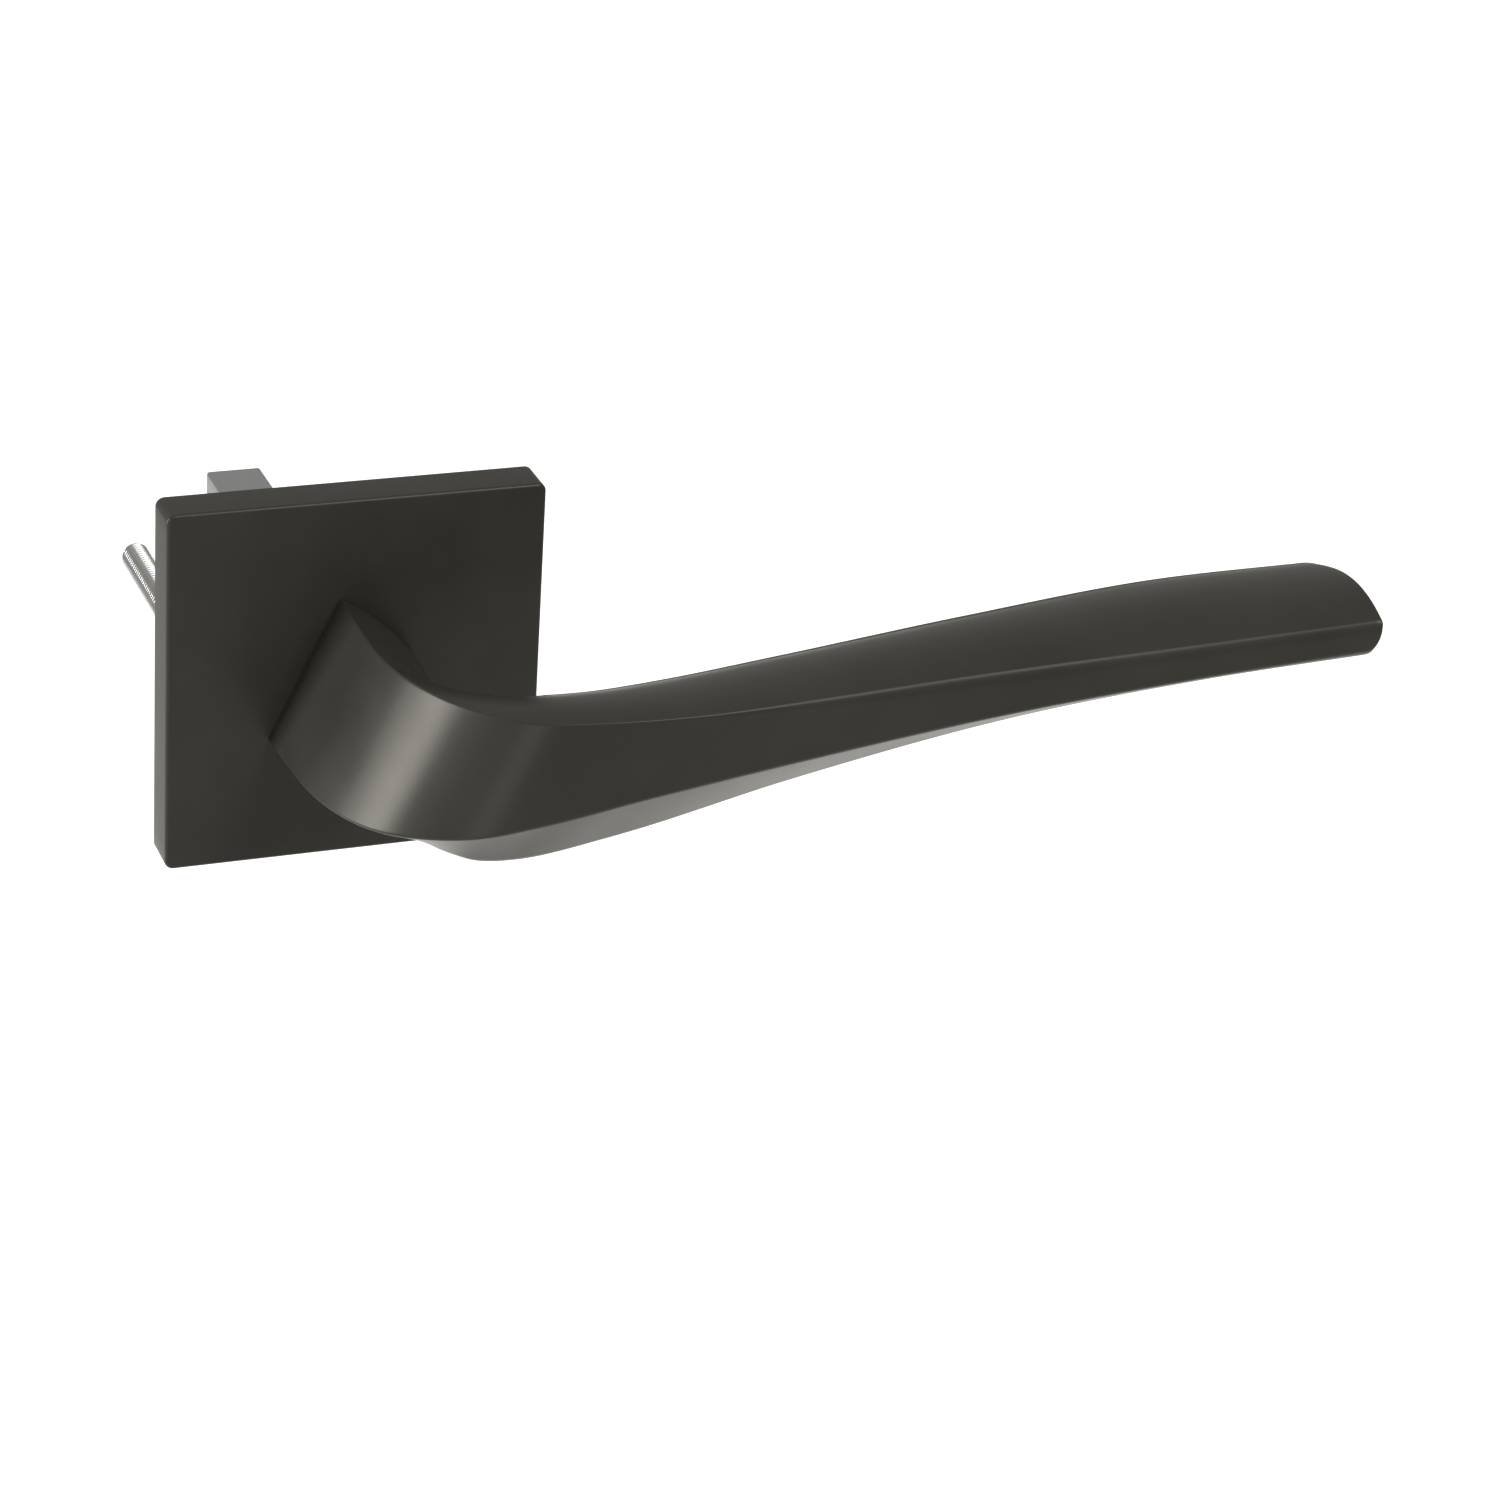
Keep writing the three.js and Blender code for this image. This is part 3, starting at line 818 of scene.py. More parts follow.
def crease_line(steps=60):
    """Fine points along the crease, as a centripetal curve through its points, in millimetres."""
    points = np.array(CREASE, float)
    # One more point beyond each end gives the curve its direction there
    points = np.vstack([2 * points[0] - points[1], points, 2 * points[-1] - points[-2]])
    gaps = np.linalg.norm(np.diff(points, axis=0), axis=1) ** 0.5
    t = np.linspace(0, 1, steps, endpoint=False)[:, None]
    fine = []
    for i in range(1, len(points) - 2):
        a, b, c, d = points[i - 1:i + 3]
        before, span, after = gaps[i - 1:i + 2]
        start = span * ((b - a) / before - (c - a) / (before + span) + (c - b) / span)
        end = span * ((c - b) / span - (d - b) / (span + after) + (d - c) / after)
        fine.append(hermite(b, c, start, end, t))
    return np.vstack([*fine, points[-2]])


def hermite(first, last, start_slope, end_slope, t):
    """A smooth step from first to last that leaves and arrives with these slopes."""
    return (
        (2 * t**3 - 3 * t**2 + 1) * first + (t**3 - 2 * t**2 + t) * start_slope
        + (3 * t**2 - 2 * t**3) * last + (t**3 - t**2) * end_slope
    )


def section_at(place):
    """The section's numbers at a distance along the crease, smoothly between the stated ones."""
    table = np.array(SECTIONS, float)
    places, values = table[:, 0], table[:, 1:]
    chords = np.diff(values, axis=0) / np.diff(places)[:, None]
    slopes = np.vstack([chords[:1], (chords[1:] + chords[:-1]) / 2, chords[-1:]])
    i = min(int(np.searchsorted(places, place, side="right")) - 1, len(places) - 2)
    span = places[i + 1] - places[i]
    t = (place - places[i]) / span
    return hermite(values[i], values[i + 1], slopes[i] * span, slopes[i + 1] * span, t)


def inset_corners(corners, insets):
    """Moves each side of a clockwise outline inwards by its own distance, and meets the sides again."""
    sides = []
    for i, corner in enumerate(corners):
        direction = unit(corners[(i + 1) % len(corners)] - corner)
        inward = np.array([direction[1], -direction[0]])
        sides.append((corner + inward * insets[i], direction))
    moved = []
    for i, (point, direction) in enumerate(sides):
        other, along = sides[i - 1]
        shares = np.linalg.solve(np.column_stack([along, -direction]), point - other)
        moved.append(other + along * shares[0])
    return moved


def crease_curve(toe, crease, top, crisp, relief):
    """The rounding of the crease: tight in the neck, and one-sided along the grip.

    The one-sided curve bows the outer face in under a top edge that stays sharp.
    """
    tight = soft_corner(toe, crease, top, crisp, 6)
    down, across = unit(toe - crease), unit(top - crease)
    deepest, turn_in = 1.8, 0.35
    depth = min(deepest, 0.5 * np.linalg.norm(toe - crease))
    edge = turn_in * depth
    shares = np.linspace(0, 1, len(tight))
    one_sided = arc_curve(crease + down * depth, crease + down * edge, crease + across * edge, shares)
    return tight + (one_sided - tight) * relief


def lever_outline(section, insets, crisp, edge, relief):
    """The closed outline of a section, clockwise from the crease, inwards and up from it in millimetres."""
    foot, _, top_in, top_drop, back_in, back_drop, heel_in, heel_drop, crown, soft = section
    corners = [
        np.array(pair, float)
        for pair in ((0, 0), (top_in, -top_drop), (back_in, -back_drop), (heel_in, -heel_drop), (0, -foot))
    ]
    crease, top, rear, heel, toe = inset_corners(corners, insets)
    rounded = min(soft, edge)
    creases = crease_curve(toe, crease, top, crisp, relief)
    tops = soft_corner(crease, top, rear, rounded, 8)
    rears = soft_corner(top, rear, heel, rounded, 8)
    heels = soft_corner(rear, heel, toe, soft, 10)
    toes = soft_corner(heel, toe, crease, crisp, 4)
    across = unit(tops[0] - creases[-1])
    raised = (creases[-1] + tops[0]) / 2 + np.array([-across[1], across[0]]) * 2 * crown

    def straight(first, last, steps):
        return arc_curve(first, (first + last) / 2, last, crowded_shares(steps))

    return np.vstack([
        creases, arc_curve(creases[-1], raised, tops[0], crowded_shares(26)),
        tops, straight(tops[-1], rears[0], 6),
        rears, straight(rears[-1], heels[0], 14),
        heels, straight(heels[-1], toes[0], 12),
        toes, straight(toes[-1], creases[0], 16),
    ])


def rounding(distance, radius):
    """How far a face is drawn in at this distance from an end that it is rounded into."""
    if distance >= radius:
        return 0.0
    return radius - math.sqrt(radius**2 - (radius - distance) ** 2)


def smooth(progress):
    """A smooth step from 0 to 1."""
    bounded = min(max(progress, 0.0), 1.0)
    return bounded**2 * (3 - 2 * bounded)


def lever_loft(settings):
    """The lever without its journal: sections set out along the crease."""
    line = crease_line()
    travelled = np.concatenate([[0], np.cumsum(np.linalg.norm(np.diff(line, axis=0), axis=1))])
    directions = np.gradient(line, travelled, axis=0)
    total = travelled[-1]
    root = settings.root_edge / MM
    tip = max(TIP_ROUNDING)
    quarter = np.linspace(0, math.pi / 2, 9)
    starts = root * (1 - np.cos(quarter))
    ends = total - tip + tip * np.sin(quarter)
    places = np.concatenate([starts, np.linspace(root, total - tip, settings.rings)[1:-1], ends])
    scale = SECTIONS[-1][0] / total
    loops = []
    for place in places:
        origin = np.array([np.interp(place, travelled, line[:, axis]) for axis in (0, 1)])
        along = np.array([np.interp(place, travelled, directions[:, axis]) for axis in (0, 1)])
        # Inwards is +X in the neck, and it turns with the bend until it is +Y along the grip
        inwards = min(max(math.atan2(along[1], along[0]) + math.pi / 2, 0), math.pi / 2)
        section = section_at(place * scale)
        root_inset = rounding(place, root)
        insets = [root_inset + rounding(total - place, radius) for radius in TIP_ROUNDING]
        relief = smooth((place - RELIEF[0]) / (RELIEF[1] - RELIEF[0]))
        outline = lever_outline(section, insets, settings.crisp / MM, settings.edge / MM, relief)
        x, y = outline[:, 0], outline[:, 1]
        loops.append(MM * np.column_stack([
            origin[0] + x * math.cos(inwards) + section[1] * y,
            origin[1] + x * math.sin(inwards),
            settings.crease_height / MM + y,
        ]))
    return skin("lever_casting", loops)


# Operators

class PieceOperator:
    """Runs an operator's build method with the scene's settings"""

    bl_options = {"REGISTER", "UNDO"}

    def execute(self, context):
        self.build(context.scene.lever_handle)
        return {"FINISHED"}


class LEVER_OT_lever(PieceOperator, Operator):
    """Lever: the neck and grip as one casting, with its journal, groove, flats, socket and grub screw hole"""

    bl_idname = "lever.lever"
    bl_label = "Lever"

    def build(self, settings):
        lever = settings.lever
        overlap, play, chamfer, groove_ease = 0.0013, 0.0003, 0.0004, 0.0001
        far = lever.journal * 2
        end = back("lever_handle")
        profile = rod_profile(lever.journal, front("rose_cover") - overlap, end, chamfer)
        journal = lathe("journal", profile, bored=False)
        groove = lathe(
            "groove", ring_profile(lever.groove, far, lever.groove_front, lever.groove_back, groove_ease)
        )
        half = lever.socket / 2
        socket = block("socket", (-half, lever.socket_front, -half), (half, end + OVERSHOOT, half))
        below_neck = 0.016
        profile = [(reach("grub_screw") + play, y) for y in (0, below_neck)]
        hole = put(lathe("hole", profile, bored=False, sides=64), y=middle("grub_screw").y, quarters=-1)
        disc_front = front("driver_disc")
        disc_back = disc_front + settings.driver.thickness
        flats = blocks_beyond(lever.flat, far, disc_front - play, disc_back + play)
        casting = join(lever_loft(lever), journal)
        cut(casting, groove, socket, hole, *flats)
        hand_over(casting, "lever_finish", "lever_handle", crease=30)


class LEVER_OT_rose_cover(PieceOperator, Operator):
    """Rose cover: a square pressed shell with rounded front edges and a hole for the journal"""

    bl_idname = "lever.rose_cover"
    bl_label = "Rose Cover"

    def build(self, settings):
        rose = settings.rose
        face, inside = -rose.depth, -rose.depth + rose.skin
        rim, lip, fillet, inner_corner = 0.00015, 0.0001, 0.0004, 0.0007
        outside = [
            rounded_square(rose.half - rim, rose.corner - rim, 0),
            rounded_square(rose.half, rose.corner, -rim),
        ]
        for turn in np.linspace(0, math.pi / 2, 9):
            drawn_in = rose.edge * (1 - math.cos(turn))
            y = face + rose.edge * (1 - math.sin(turn))
            outside.append(rounded_square(rose.half - drawn_in, rose.corner - drawn_in, y))
        hole_edge = round_like(outside[-1], rose.hole + lip, face)
        outside += between_loops(outside[-1], hole_edge, 8)
        outside += [
            round_like(hole_edge, rose.hole + lip * (1 - math.sin(turn)), face + lip * (1 - math.cos(turn)))
            for turn in np.linspace(0, math.pi / 2, 5)
        ]
        inner_half = rose.half - rose.skin
        back_edge = round_like(hole_edge, rose.hole, inside)
        inner = rounded_square(inner_half - fillet, fillet, inside)
        shell = [
            *outside, back_edge, *between_loops(back_edge, inner, 6), inner,
            rounded_square(inner_half, inner_corner, inside + fillet),
            rounded_square(inner_half, inner_corner, 0),
        ]
        hand_over(skin("rose_shell", shell, closed=True), "rose_finish", "rose_cover", crease=30)


class LEVER_OT_base_plate(PieceOperator, Operator):
    """Base plate: a zinc casting with a raised rim round the spring, and holes for bush, screws and pins"""

    bl_idname = "lever.base_plate"
    bl_label = "Base Plate"

    def build(self, settings):
        plate = settings.plate
        face, rim_front, ease, fillet = -plate.thickness, front("base_plate"), 0.0002, 0.0004
        outer = [
            rounded_square(plate.half - ease, plate.corner - ease, 0),
            rounded_square(plate.half, plate.corner, -ease),
            rounded_square(plate.half, plate.corner, face + ease),
            rounded_square(plate.half - ease, plate.corner - ease, face),
        ]
        profile = [
            (plate.rim_outer + fillet, face), (plate.rim_outer + 0.3 * fillet, face - 0.3 * fillet),
            (plate.rim_outer, face - fillet), (plate.rim_outer, rim_front + ease),
            (plate.rim_outer - ease, rim_front), (plate.rim_inner + ease, rim_front),
            (plate.rim_inner, rim_front + ease), (plate.rim_inner, face - fillet),
            (plate.rim_inner - fillet, face), (plate.bore + ease, face), (plate.bore, face + ease),
            (plate.bore, -ease), (plate.bore + ease, 0),
        ]
        round_part = [round_like(outer[0], radius, y) for radius, y in profile]
        loops = [
            *outer, *between_loops(outer[-1], round_part[0], 5), *round_part,
            *between_loops(round_part[-1], outer[0], 8),
        ]
        casting = skin("die_cast_plate", loops, closed=True)
        holes = [
            self.drill(middle(node).x, 0, settings.screw.radius + plate.play, face)
            for node in on_both_sides("fixing_screw")
        ]
        for node in PINS:
            centre = middle(node)
            holes.append(self.drill(centre.x, centre.z, half_width(node) + plate.play, face))
        # The mould's ejector pins leave four shallow round marks in the back
        mark_radius, mark_depth, mark_ease, mark_at = 0.0013, 0.00012, 0.0001, 0.0185
        profile = rod_profile(mark_radius, -mark_depth, OVERSHOOT, mark_ease)
        marks = [
            lathe("mark", profile, centre=(x, z), bored=False, sides=40)
            for x in (-mark_at, mark_at) for z in (-mark_at, mark_at)
        ]
        hand_over(cut(casting, *holes, *marks), "zinc_casting", "base_plate")

    def drill(self, x, z, radius, face):
        """A tool that drills a hole through the plate and breaks both its edges."""
        lead = 0.0002
        wide = radius + lead + OVERSHOOT
        profile = [(wide, face - OVERSHOOT), (radius, face + lead), (radius, -lead), (wide, OVERSHOOT)]
        return lathe("drill", profile, centre=(x, z), bored=False, sides=48)


class LEVER_OT_bearing_bush(PieceOperator, Operator):
    """Bearing bush: the nylon ring that the journal turns in, with leads and a groove for grease"""

    bl_idname = "lever.bearing_bush"
    bl_label = "Bearing Bush"

    def build(self, settings):
        outer = reach("bearing_bush")
        inner = settings.lever.journal + settings.plate.play
        start, end = front("bearing_bush"), back("bearing_bush")
        centre = (start + end) / 2
        groove, lead = 0.0003, 0.0003
        corners = [
            (inner, start), (outer, start), (outer, end), (inner, end),
            (inner, centre + groove), (inner + groove, centre + groove),
            (inner + groove, centre - groove), (inner, centre - groove),
        ]
        hand_over(lathe("nylon_bush", eased(corners, lead)), "nylon", "bearing_bush")


class LEVER_OT_spindle(PieceOperator, Operator):
    """Spindle: the square bar through the latch, with its long edges broken and its ends chamfered"""

    bl_idname = "lever.spindle"
    bl_label = "Spindle"

    def build(self, settings):
        low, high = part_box("spindle")
        half, chamfer, edge = high.x, 0.0006, 0.0004
        narrow = half - chamfer
        places = [(low.y, narrow), (low.y + chamfer, half), (high.y - chamfer, half), (high.y, narrow)]
        loops = [
            rounded_square(width, edge * width / half, y, corner_steps=4, side_steps=8)
            for y, width in places
        ]
        hand_over(break_edges(skin("square_bar", loops), TUMBLED), "plated_steel", "spindle")


class LEVER_OT_grub_screw(PieceOperator, Operator):
    """Grub screw: clamps the lever to the spindle, with a cup point and a hexagon socket"""

    bl_idname = "lever.grub_screw"
    bl_label = "Grub Screw"

    def build(self, settings):
        sizes = settings.screw
        low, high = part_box("grub_screw")
        screw = threaded_rod(
            "set_screw", reach("grub_screw"), sizes.grub_pitch, low.z, high.z, "black_steel",
            sides=64, rings_per_turn=12,
        )
        corners = [
            (sizes.key * math.cos(turn), sizes.key * math.sin(turn), low.z - OVERSHOOT)
            for turn in np.radians(np.arange(0, 360, 60))
        ]
        key_depth, cup_depth = 0.0026, 0.0008
        key = prism("key", corners, (0, 0, OVERSHOOT + key_depth))
        cone = [(0.0002, 0), (0.0018, 0.0012)]
        cup = put(lathe("cup", cone, bored=False, sides=64), z=high.z - cup_depth, quarters=1)
        put(cut(screw, key, cup), y=middle("grub_screw").y)
        hand_over(screw, "black_steel", "grub_screw", crease=50)


class LEVER_OT_driver(PieceOperator, Operator):
    """Driver: the stamped disc on the journal's flats, with an arm for the stops and a tab for the spring"""

    bl_idname = "lever.driver"
    bl_label = "Driver"

    def build(self, settings):
        driver, play = settings.driver, settings.plate.play
        start, tab_back = front("driver_disc"), back("driver_disc")
        end = start + driver.thickness
        inside = settings.lever.journal + play
        disc = lathe("stamped_driver", [(driver.radius, start), (driver.radius, end)], bored=False, sides=128)
        web, far = 0.0008, 0.02
        out, half, tab_half = driver.arm_reach, driver.arm_half, driver.tab_half
        arm = block("arm", (inside + web, start, -half), (out, end, half))
        tab = block("tab", (driver.tab_inner, start, -tab_half), (out, tab_back, tab_half))
        join(disc, turn_about_spindle(arm, driver.at), turn_about_spindle(tab, driver.at))
        hole = lathe("hole", [(inside, start - OVERSHOOT), (inside, end + OVERSHOOT)], bored=False)
        flats = blocks_beyond(settings.lever.flat + play, far, start - 2 * OVERSHOOT, end + 2 * OVERSHOOT)
        cut(disc, cut(hole, *flats))
        hand_over(break_edges(disc, TUMBLED), "plated_steel", "driver_disc")


class LEVER_OT_return_spring(PieceOperator, Operator):
    """Return spring: a flat wire wound round the bush, which twists between the plate and the driver"""

    bl_idname = "lever.return_spring"
    bl_label = "Return Spring"

    def build(self, settings):
        spring, driver = settings.spring, settings.driver
        contact = spring.mean + spring.leg / 2
        behind_tab = (driver.tab_half + settings.plate.play + spring.radial / 2) / contact
        rise = spring.pitch * spring.turns
        leg_share, wire_edge, steps = 0.02, 0.00015, 151
        tree, identifiers = spring_tree()
        piece = grow("wound_spring", tree, identifiers, {
            "Mean Radius": spring.mean,
            "Wire Width": spring.radial,
            "Wire Thickness": spring.axial,
            "Rise": -rise,
            "Sweep": spring.turns * 2 * math.pi,
            "Start Angle": driver.at - behind_tab,
            "Leg": spring.leg,
            "Leg Share": leg_share,
            "Bend": spring.bend,
            "Wire Edge": wire_edge,
            "Steps": steps,
            "Material": finish_for("spring_steel"),
        })
        put(piece, y=spring.front, quarters=1)
        close_up(piece.data)
        shade(piece)
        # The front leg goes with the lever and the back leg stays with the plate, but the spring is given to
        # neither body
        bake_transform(piece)
        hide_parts("return_spring")


class LEVER_OT_journal_washers(PieceOperator, Operator):
    """Journal washers: the thrust washer, the wave washer and the open retaining ring behind the plate"""

    bl_idname = "lever.journal_washers"
    bl_label = "Journal Washers"

    def build(self, settings):
        play = settings.plate.play
        inner = settings.lever.journal + play
        self.thrust_washer(inner)
        self.wave_washer(inner)
        self.open_ring(settings.lever.groove + play)

    def thrust_washer(self, inner):
        node, edge = "thrust_washer", 0.0001
        profile = ring_profile(inner, reach(node), front(node), back(node), edge)
        hand_over(lathe("nylon_thrust_washer", profile), "nylon", node)

    def wave_washer(self, inner):
        """A thin steel ring that rises and falls round its turn, with three waves."""
        low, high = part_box("wave_washer")
        height, waves, edge = 0.00015, 3, 0.00006
        sheet = (high.y - low.y) / 2 - height
        centre = (low.y + high.y) / 2
        profile = ring_profile(inner, high.x, centre - sheet, centre + sheet, edge)
        wavy = lathe("waved_washer", profile, sides=144, wave=lambda turns: height * np.sin(waves * turns))
        hand_over(wavy, "spring_steel", "wave_washer")

    def open_ring(self, inner):
        """The retaining ring, swept round the groove from one side of its mouth to the other."""
        low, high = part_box("retaining_ring")
        outer, mouth, edge = high.x, 0.003, 0.00012
        gap = math.asin(mouth / ((inner + outer) / 2))
        profile = ring_profile(inner, outer, low.y, high.y, edge)
        loops = [
            [(r * math.cos(turn), y, r * math.sin(turn)) for r, y in profile]
            for turn in np.linspace(gap - math.pi / 2, math.pi * 1.5 - gap, 120)
        ]
        hand_over(break_edges(skin("snap_ring", loops), FILED, limit=60), "spring_steel", "retaining_ring")


class LEVER_OT_stop_pins(PieceOperator, Operator):
    """Stop pins: the rest stop, the end stop and the spring's anchor, with domed ends"""

    bl_idname = "lever.stop_pins"
    bl_label = "Stop Pins"

    def build(self, settings):
        dome = 0.0003
        for node in PINS:
            centre = middle(node)
            profile = rod_profile(half_width(node), front(node), back(node), dome)
            pin = lathe(f"dowel_{node}", profile, centre=(centre.x, centre.z), bored=False, sides=48)
            hand_over(pin, "plated_steel", node)


class LEVER_OT_support_posts(PieceOperator, Operator):
    """Support posts: the bored bosses that sit in the door and keep the plate from turning"""

    bl_idname = "lever.support_posts"
    bl_label = "Support Posts"

    def build(self, settings):
        bore = settings.screw.radius + settings.plate.play
        taper, lead, edge = 0.0002, 0.0005, 0.00015
        for node in on_both_sides("support_post"):
            outer, start, end = half_width(node), front(node), back(node)
            corners = [
                (bore, start), (outer, start), (outer - taper, end - lead), (outer - taper - lead, end),
                (bore + lead / 2, end), (bore, end - lead / 2),
            ]
            post = lathe(f"cast_{node}", eased(corners, edge), centre=(middle(node).x, 0))
            hand_over(post, "zinc_casting", node)


class LEVER_OT_fixing_screws(PieceOperator, Operator):
    """Fixing screws: the two threaded screws through the door, with pan heads and cross recesses"""

    bl_idname = "lever.fixing_screws"
    bl_label = "Fixing Screws"

    def build(self, settings):
        for node in on_both_sides("fixing_screw"):
            hand_over(self.screw(settings.screw, node), "plated_steel", node, crease=50)

    def screw(self, sizes, node):
        start, end = front(node), back(node)
        head_back = start + sizes.head_depth
        plain_neck = 0.003
        thread_start = head_back + plain_neck
        # The rod is grown about Z and then laid down along Y
        rod = put(
            threaded_rod(f"threaded_{node}", sizes.radius, sizes.pitch, thread_start, end, "plated_steel"),
            quarters=-1,
        )
        inside_head, overlap, neck_share = 0.0003, 0.0004, 0.93
        neck_radius = sizes.radius * neck_share
        neck = lathe(
            "neck", [(neck_radius, start + inside_head), (neck_radius, thread_start + overlap)], bored=False
        )
        join(rod, neck, self.head(half_width(node), start, head_back))
        for recess in self.recess(sizes.recess / 2, start):
            cut(rod, recess)
        return put(rod, x=middle(node).x)

    def head(self, radius, start, end):
        """A pan head: a low dome, a short wall and a broken edge underneath."""
        dome_depth, wall_at, edge = 0.0006, 0.0009, 0.0001
        dome = [(radius * out, start + dome_depth * out**4) for out in np.linspace(0.2, 0.97, 10)]
        wall = [(radius, start + wall_at), (radius, end - edge), (radius - edge, end)]
        return lathe("head", [*dome, *wall], bored=False)

    def recess(self, arm_half, start):
        """The two arms of the cross recess, each narrowing towards its floor."""
        arm_reach, depth, above, narrowing = 0.0019, 0.0011, 0.0005, 0.6
        for wide, tall in ((arm_reach, arm_half), (arm_half, arm_reach)):
            corners = [(-wide, -tall), (wide, -tall), (wide, tall), (-wide, tall)]
            mouth = [(x, start - above, z) for x, z in corners]
            floor = [(x * narrowing, start + depth, z * narrowing) for x, z in corners]
            yield skin("recess", [mouth, floor])


class LEVER_OT_screw_washers(PieceOperator, Operator):
    """Screw washers: one plain washer under each fixing screw's head"""

    bl_idname = "lever.screw_washers"
    bl_label = "Screw Washers"

    def build(self, settings):
        bore = settings.screw.radius + settings.plate.play
        edge = 0.0001
        for node in on_both_sides("screw_washer"):
            profile = ring_profile(bore, half_width(node), front(node), back(node), edge)
            washer = lathe(f"plain_{node}", profile, centre=(middle(node).x, 0), sides=72)
            hand_over(washer, "plated_steel", node)


class LEVER_OT_cover_clips(PieceOperator, Operator):
    """Cover clips: spring leaves with a hooked foot, which grip the cover's walls"""

    bl_idname = "lever.cover_clips"
    bl_label = "Cover Clips"

    def build(self, settings):
        for node in sorted(name for name in frame["nodes"] if name.startswith("cover_clip")):
            hand_over(self.clip(node), "spring_steel", node)

    def clip(self, node):
        low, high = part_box(node)
        side = 1 if high.z > 0 else -1
        inner_end, outer = sorted((abs(low.z), abs(high.z)))
        sheet, flare, flare_depth, bend = 0.0006, 0.0002, 0.0012, 0.0002
        foot_front, foot_back = -0.0022, -0.0015
        inner = outer - sheet
        corners = [
            (inner - flare, low.y), (outer - flare, low.y), (outer, low.y + flare_depth), (outer, high.y),
            (inner, high.y), (inner, foot_back), (inner_end, foot_back), (inner_end, foot_front),
            (inner, foot_front),
        ]
        outline = [(low.x, y, side * radial) for radial, y in eased(corners, bend, 5)]
        leaf = prism(f"leaf_{node}", outline, (high.x - low.x, 0, 0))
        return break_edges(leaf, FILED, limit=60)


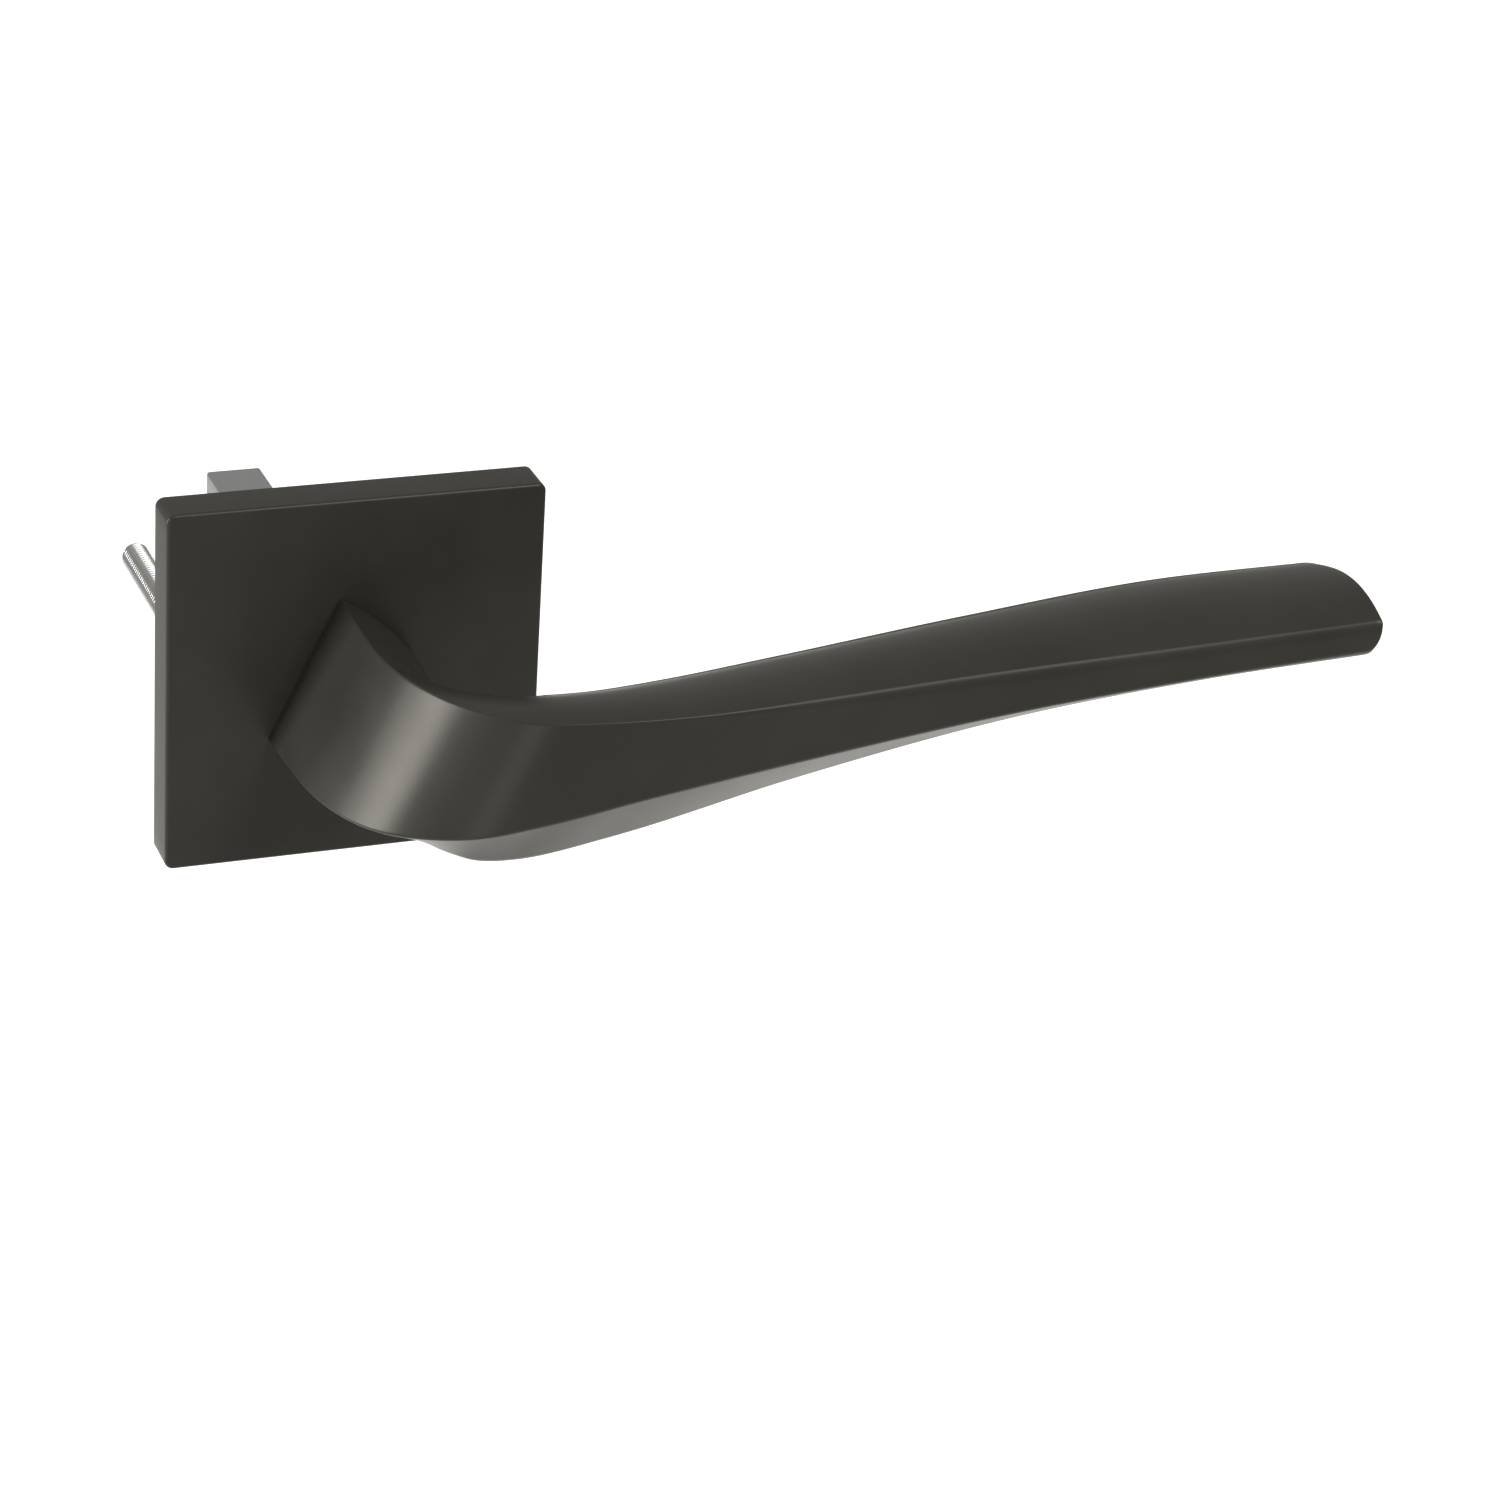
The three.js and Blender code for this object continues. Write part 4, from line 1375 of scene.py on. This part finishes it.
class LEVER_OT_stage(PieceOperator, Operator):
    """Stage: a plain pale floor, soft lights and the camera"""

    bl_idname = "lever.stage"
    bl_label = "Stage"

    def build(self, settings):
        stage, scene = settings.stage, bpy.context.scene
        scene.view_settings.view_transform = "Standard"
        self.room(scene, stage)
        self.floor(stage)
        self.softbox("key_light", Vector((-0.97, 0.19, 0.16)), (0.3, 0.6), stage.key)
        self.softbox("front_light", Vector((-0.46, -0.88, -0.08)), (0.4, 0.6), stage.fill)
        self.softbox("top_light", Vector((0.34, -0.55, 0.75)), (0.5, 0.5), stage.top)
        self.floor_light(stage)
        self.camera(scene, stage)

    def room(self, scene, stage):
        world = bpy.data.worlds.new("room")
        world.use_nodes = True
        background = world.node_tree.nodes["Background"]
        background.inputs["Color"].default_value = (*stage.light_colour, 1.0)
        background.inputs["Strength"].default_value = stage.room
        scene.world = world

    def floor(self, stage):
        made = Finish("pale_floor")
        colours = made.varied(made.noise(0.6, 1.0), stage.floor_colour, 0.985, 1.0)
        paint = made.surface(Base_Color=colours, Roughness=0.9)
        far = 20.0
        corners = [(x, y, stage.floor) for x, y in ((-far, -far), (far, -far), (far, far), (-far, far))]
        floor = new_object("floor", corners, [(0, 1, 2, 3)])
        floor.data.materials.append(paint)

    def lamp(self, name, size, power, place, turn):
        """A rectangular light that shines along its own -Z, and that the camera doesn't see."""
        light = bpy.data.lights.new(name, "AREA")
        light.shape = "RECTANGLE"
        light.size, light.size_y = size
        light.energy = power
        light.color = bpy.context.scene.lever_handle.stage.light_colour
        lamp = in_scene(name, light)
        lamp.matrix_world = Matrix.Translation(place) @ turn.to_matrix().to_4x4()
        lamp.visible_camera = False

    def softbox(self, name, place, size, power):
        self.lamp(name, size, power, place, (-place).to_track_quat("-Z", "Y"))

    def floor_light(self, stage):
        """Lights the floor that the camera sees behind the handle, from below the handle."""
        ahead = Vector((math.sin(stage.yaw), math.cos(stage.yaw), 0.0))
        foot = Vector((stage.camera[0], stage.camera[1], stage.floor + stage.wash_height))
        size, distance = (0.95, 2.4), 1.75
        turn = Matrix.Rotation(-stage.yaw, 3, "Z").to_quaternion()
        self.lamp("floor_light", size, stage.wash, foot + ahead * distance, turn)

    def camera(self, scene, stage):
        ahead = Vector((
            math.sin(stage.yaw) * math.cos(stage.pitch),
            math.cos(stage.yaw) * math.cos(stage.pitch),
            -math.sin(stage.pitch),
        ))
        level = Vector((math.cos(stage.yaw), -math.sin(stage.yaw), 0))
        right = math.cos(stage.roll) * level + math.sin(stage.roll) * level.cross(ahead)
        above = right.cross(ahead)
        turn = Matrix((right, above, -ahead)).transposed().to_4x4()
        camera = in_scene("camera", bpy.data.cameras.new("camera"))
        camera.matrix_world = Matrix.Translation(Vector(stage.camera)) @ turn
        camera.data.lens = stage.lens
        camera.data.sensor_width = 36.0
        camera.data.clip_start, camera.data.clip_end = 0.01, 100.0
        scene.camera = camera


PIECES = (
    LEVER_OT_lever,
    LEVER_OT_rose_cover,
    LEVER_OT_base_plate,
    LEVER_OT_bearing_bush,
    LEVER_OT_spindle,
    LEVER_OT_grub_screw,
    LEVER_OT_driver,
    LEVER_OT_return_spring,
    LEVER_OT_journal_washers,
    LEVER_OT_stop_pins,
    LEVER_OT_support_posts,
    LEVER_OT_fixing_screws,
    LEVER_OT_screw_washers,
    LEVER_OT_cover_clips,
    LEVER_OT_stage,
)


class LEVER_PT_panel(Panel):
    """The handle's settings and the operators that build it"""

    bl_idname = "LEVER_PT_panel"
    bl_label = "Door Lever Handle"
    bl_space_type = "VIEW_3D"
    bl_region_type = "UI"
    bl_category = "Lever"

    def draw(self, context):
        for piece in PIECES:
            self.layout.operator(piece.bl_idname)
        for title in HandleSettings.__annotations__:
            group = getattr(context.scene.lever_handle, title)
            box = self.layout.box()
            box.label(text=title.title())
            for name in group.__annotations__:
                box.prop(group, name)


CLASSES = (
    LeverSettings, RoseSettings, PlateSettings, SpringSettings, DriverSettings, ScrewSettings, FinishSettings,
    StageSettings, HandleSettings, *PIECES, LEVER_PT_panel,
)


def register():
    for cls in CLASSES:
        bpy.utils.register_class(cls)
    bpy.types.Scene.lever_handle = PointerProperty(type=HandleSettings)


def unregister():
    del bpy.types.Scene.lever_handle
    for cls in reversed(CLASSES):
        bpy.utils.unregister_class(cls)


def main():
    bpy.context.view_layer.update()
    register()
    for piece in PIECES:
        group, name = piece.bl_idname.split(".")
        getattr(getattr(bpy.ops, group), name)()


if __name__ == "__main__":
    main()
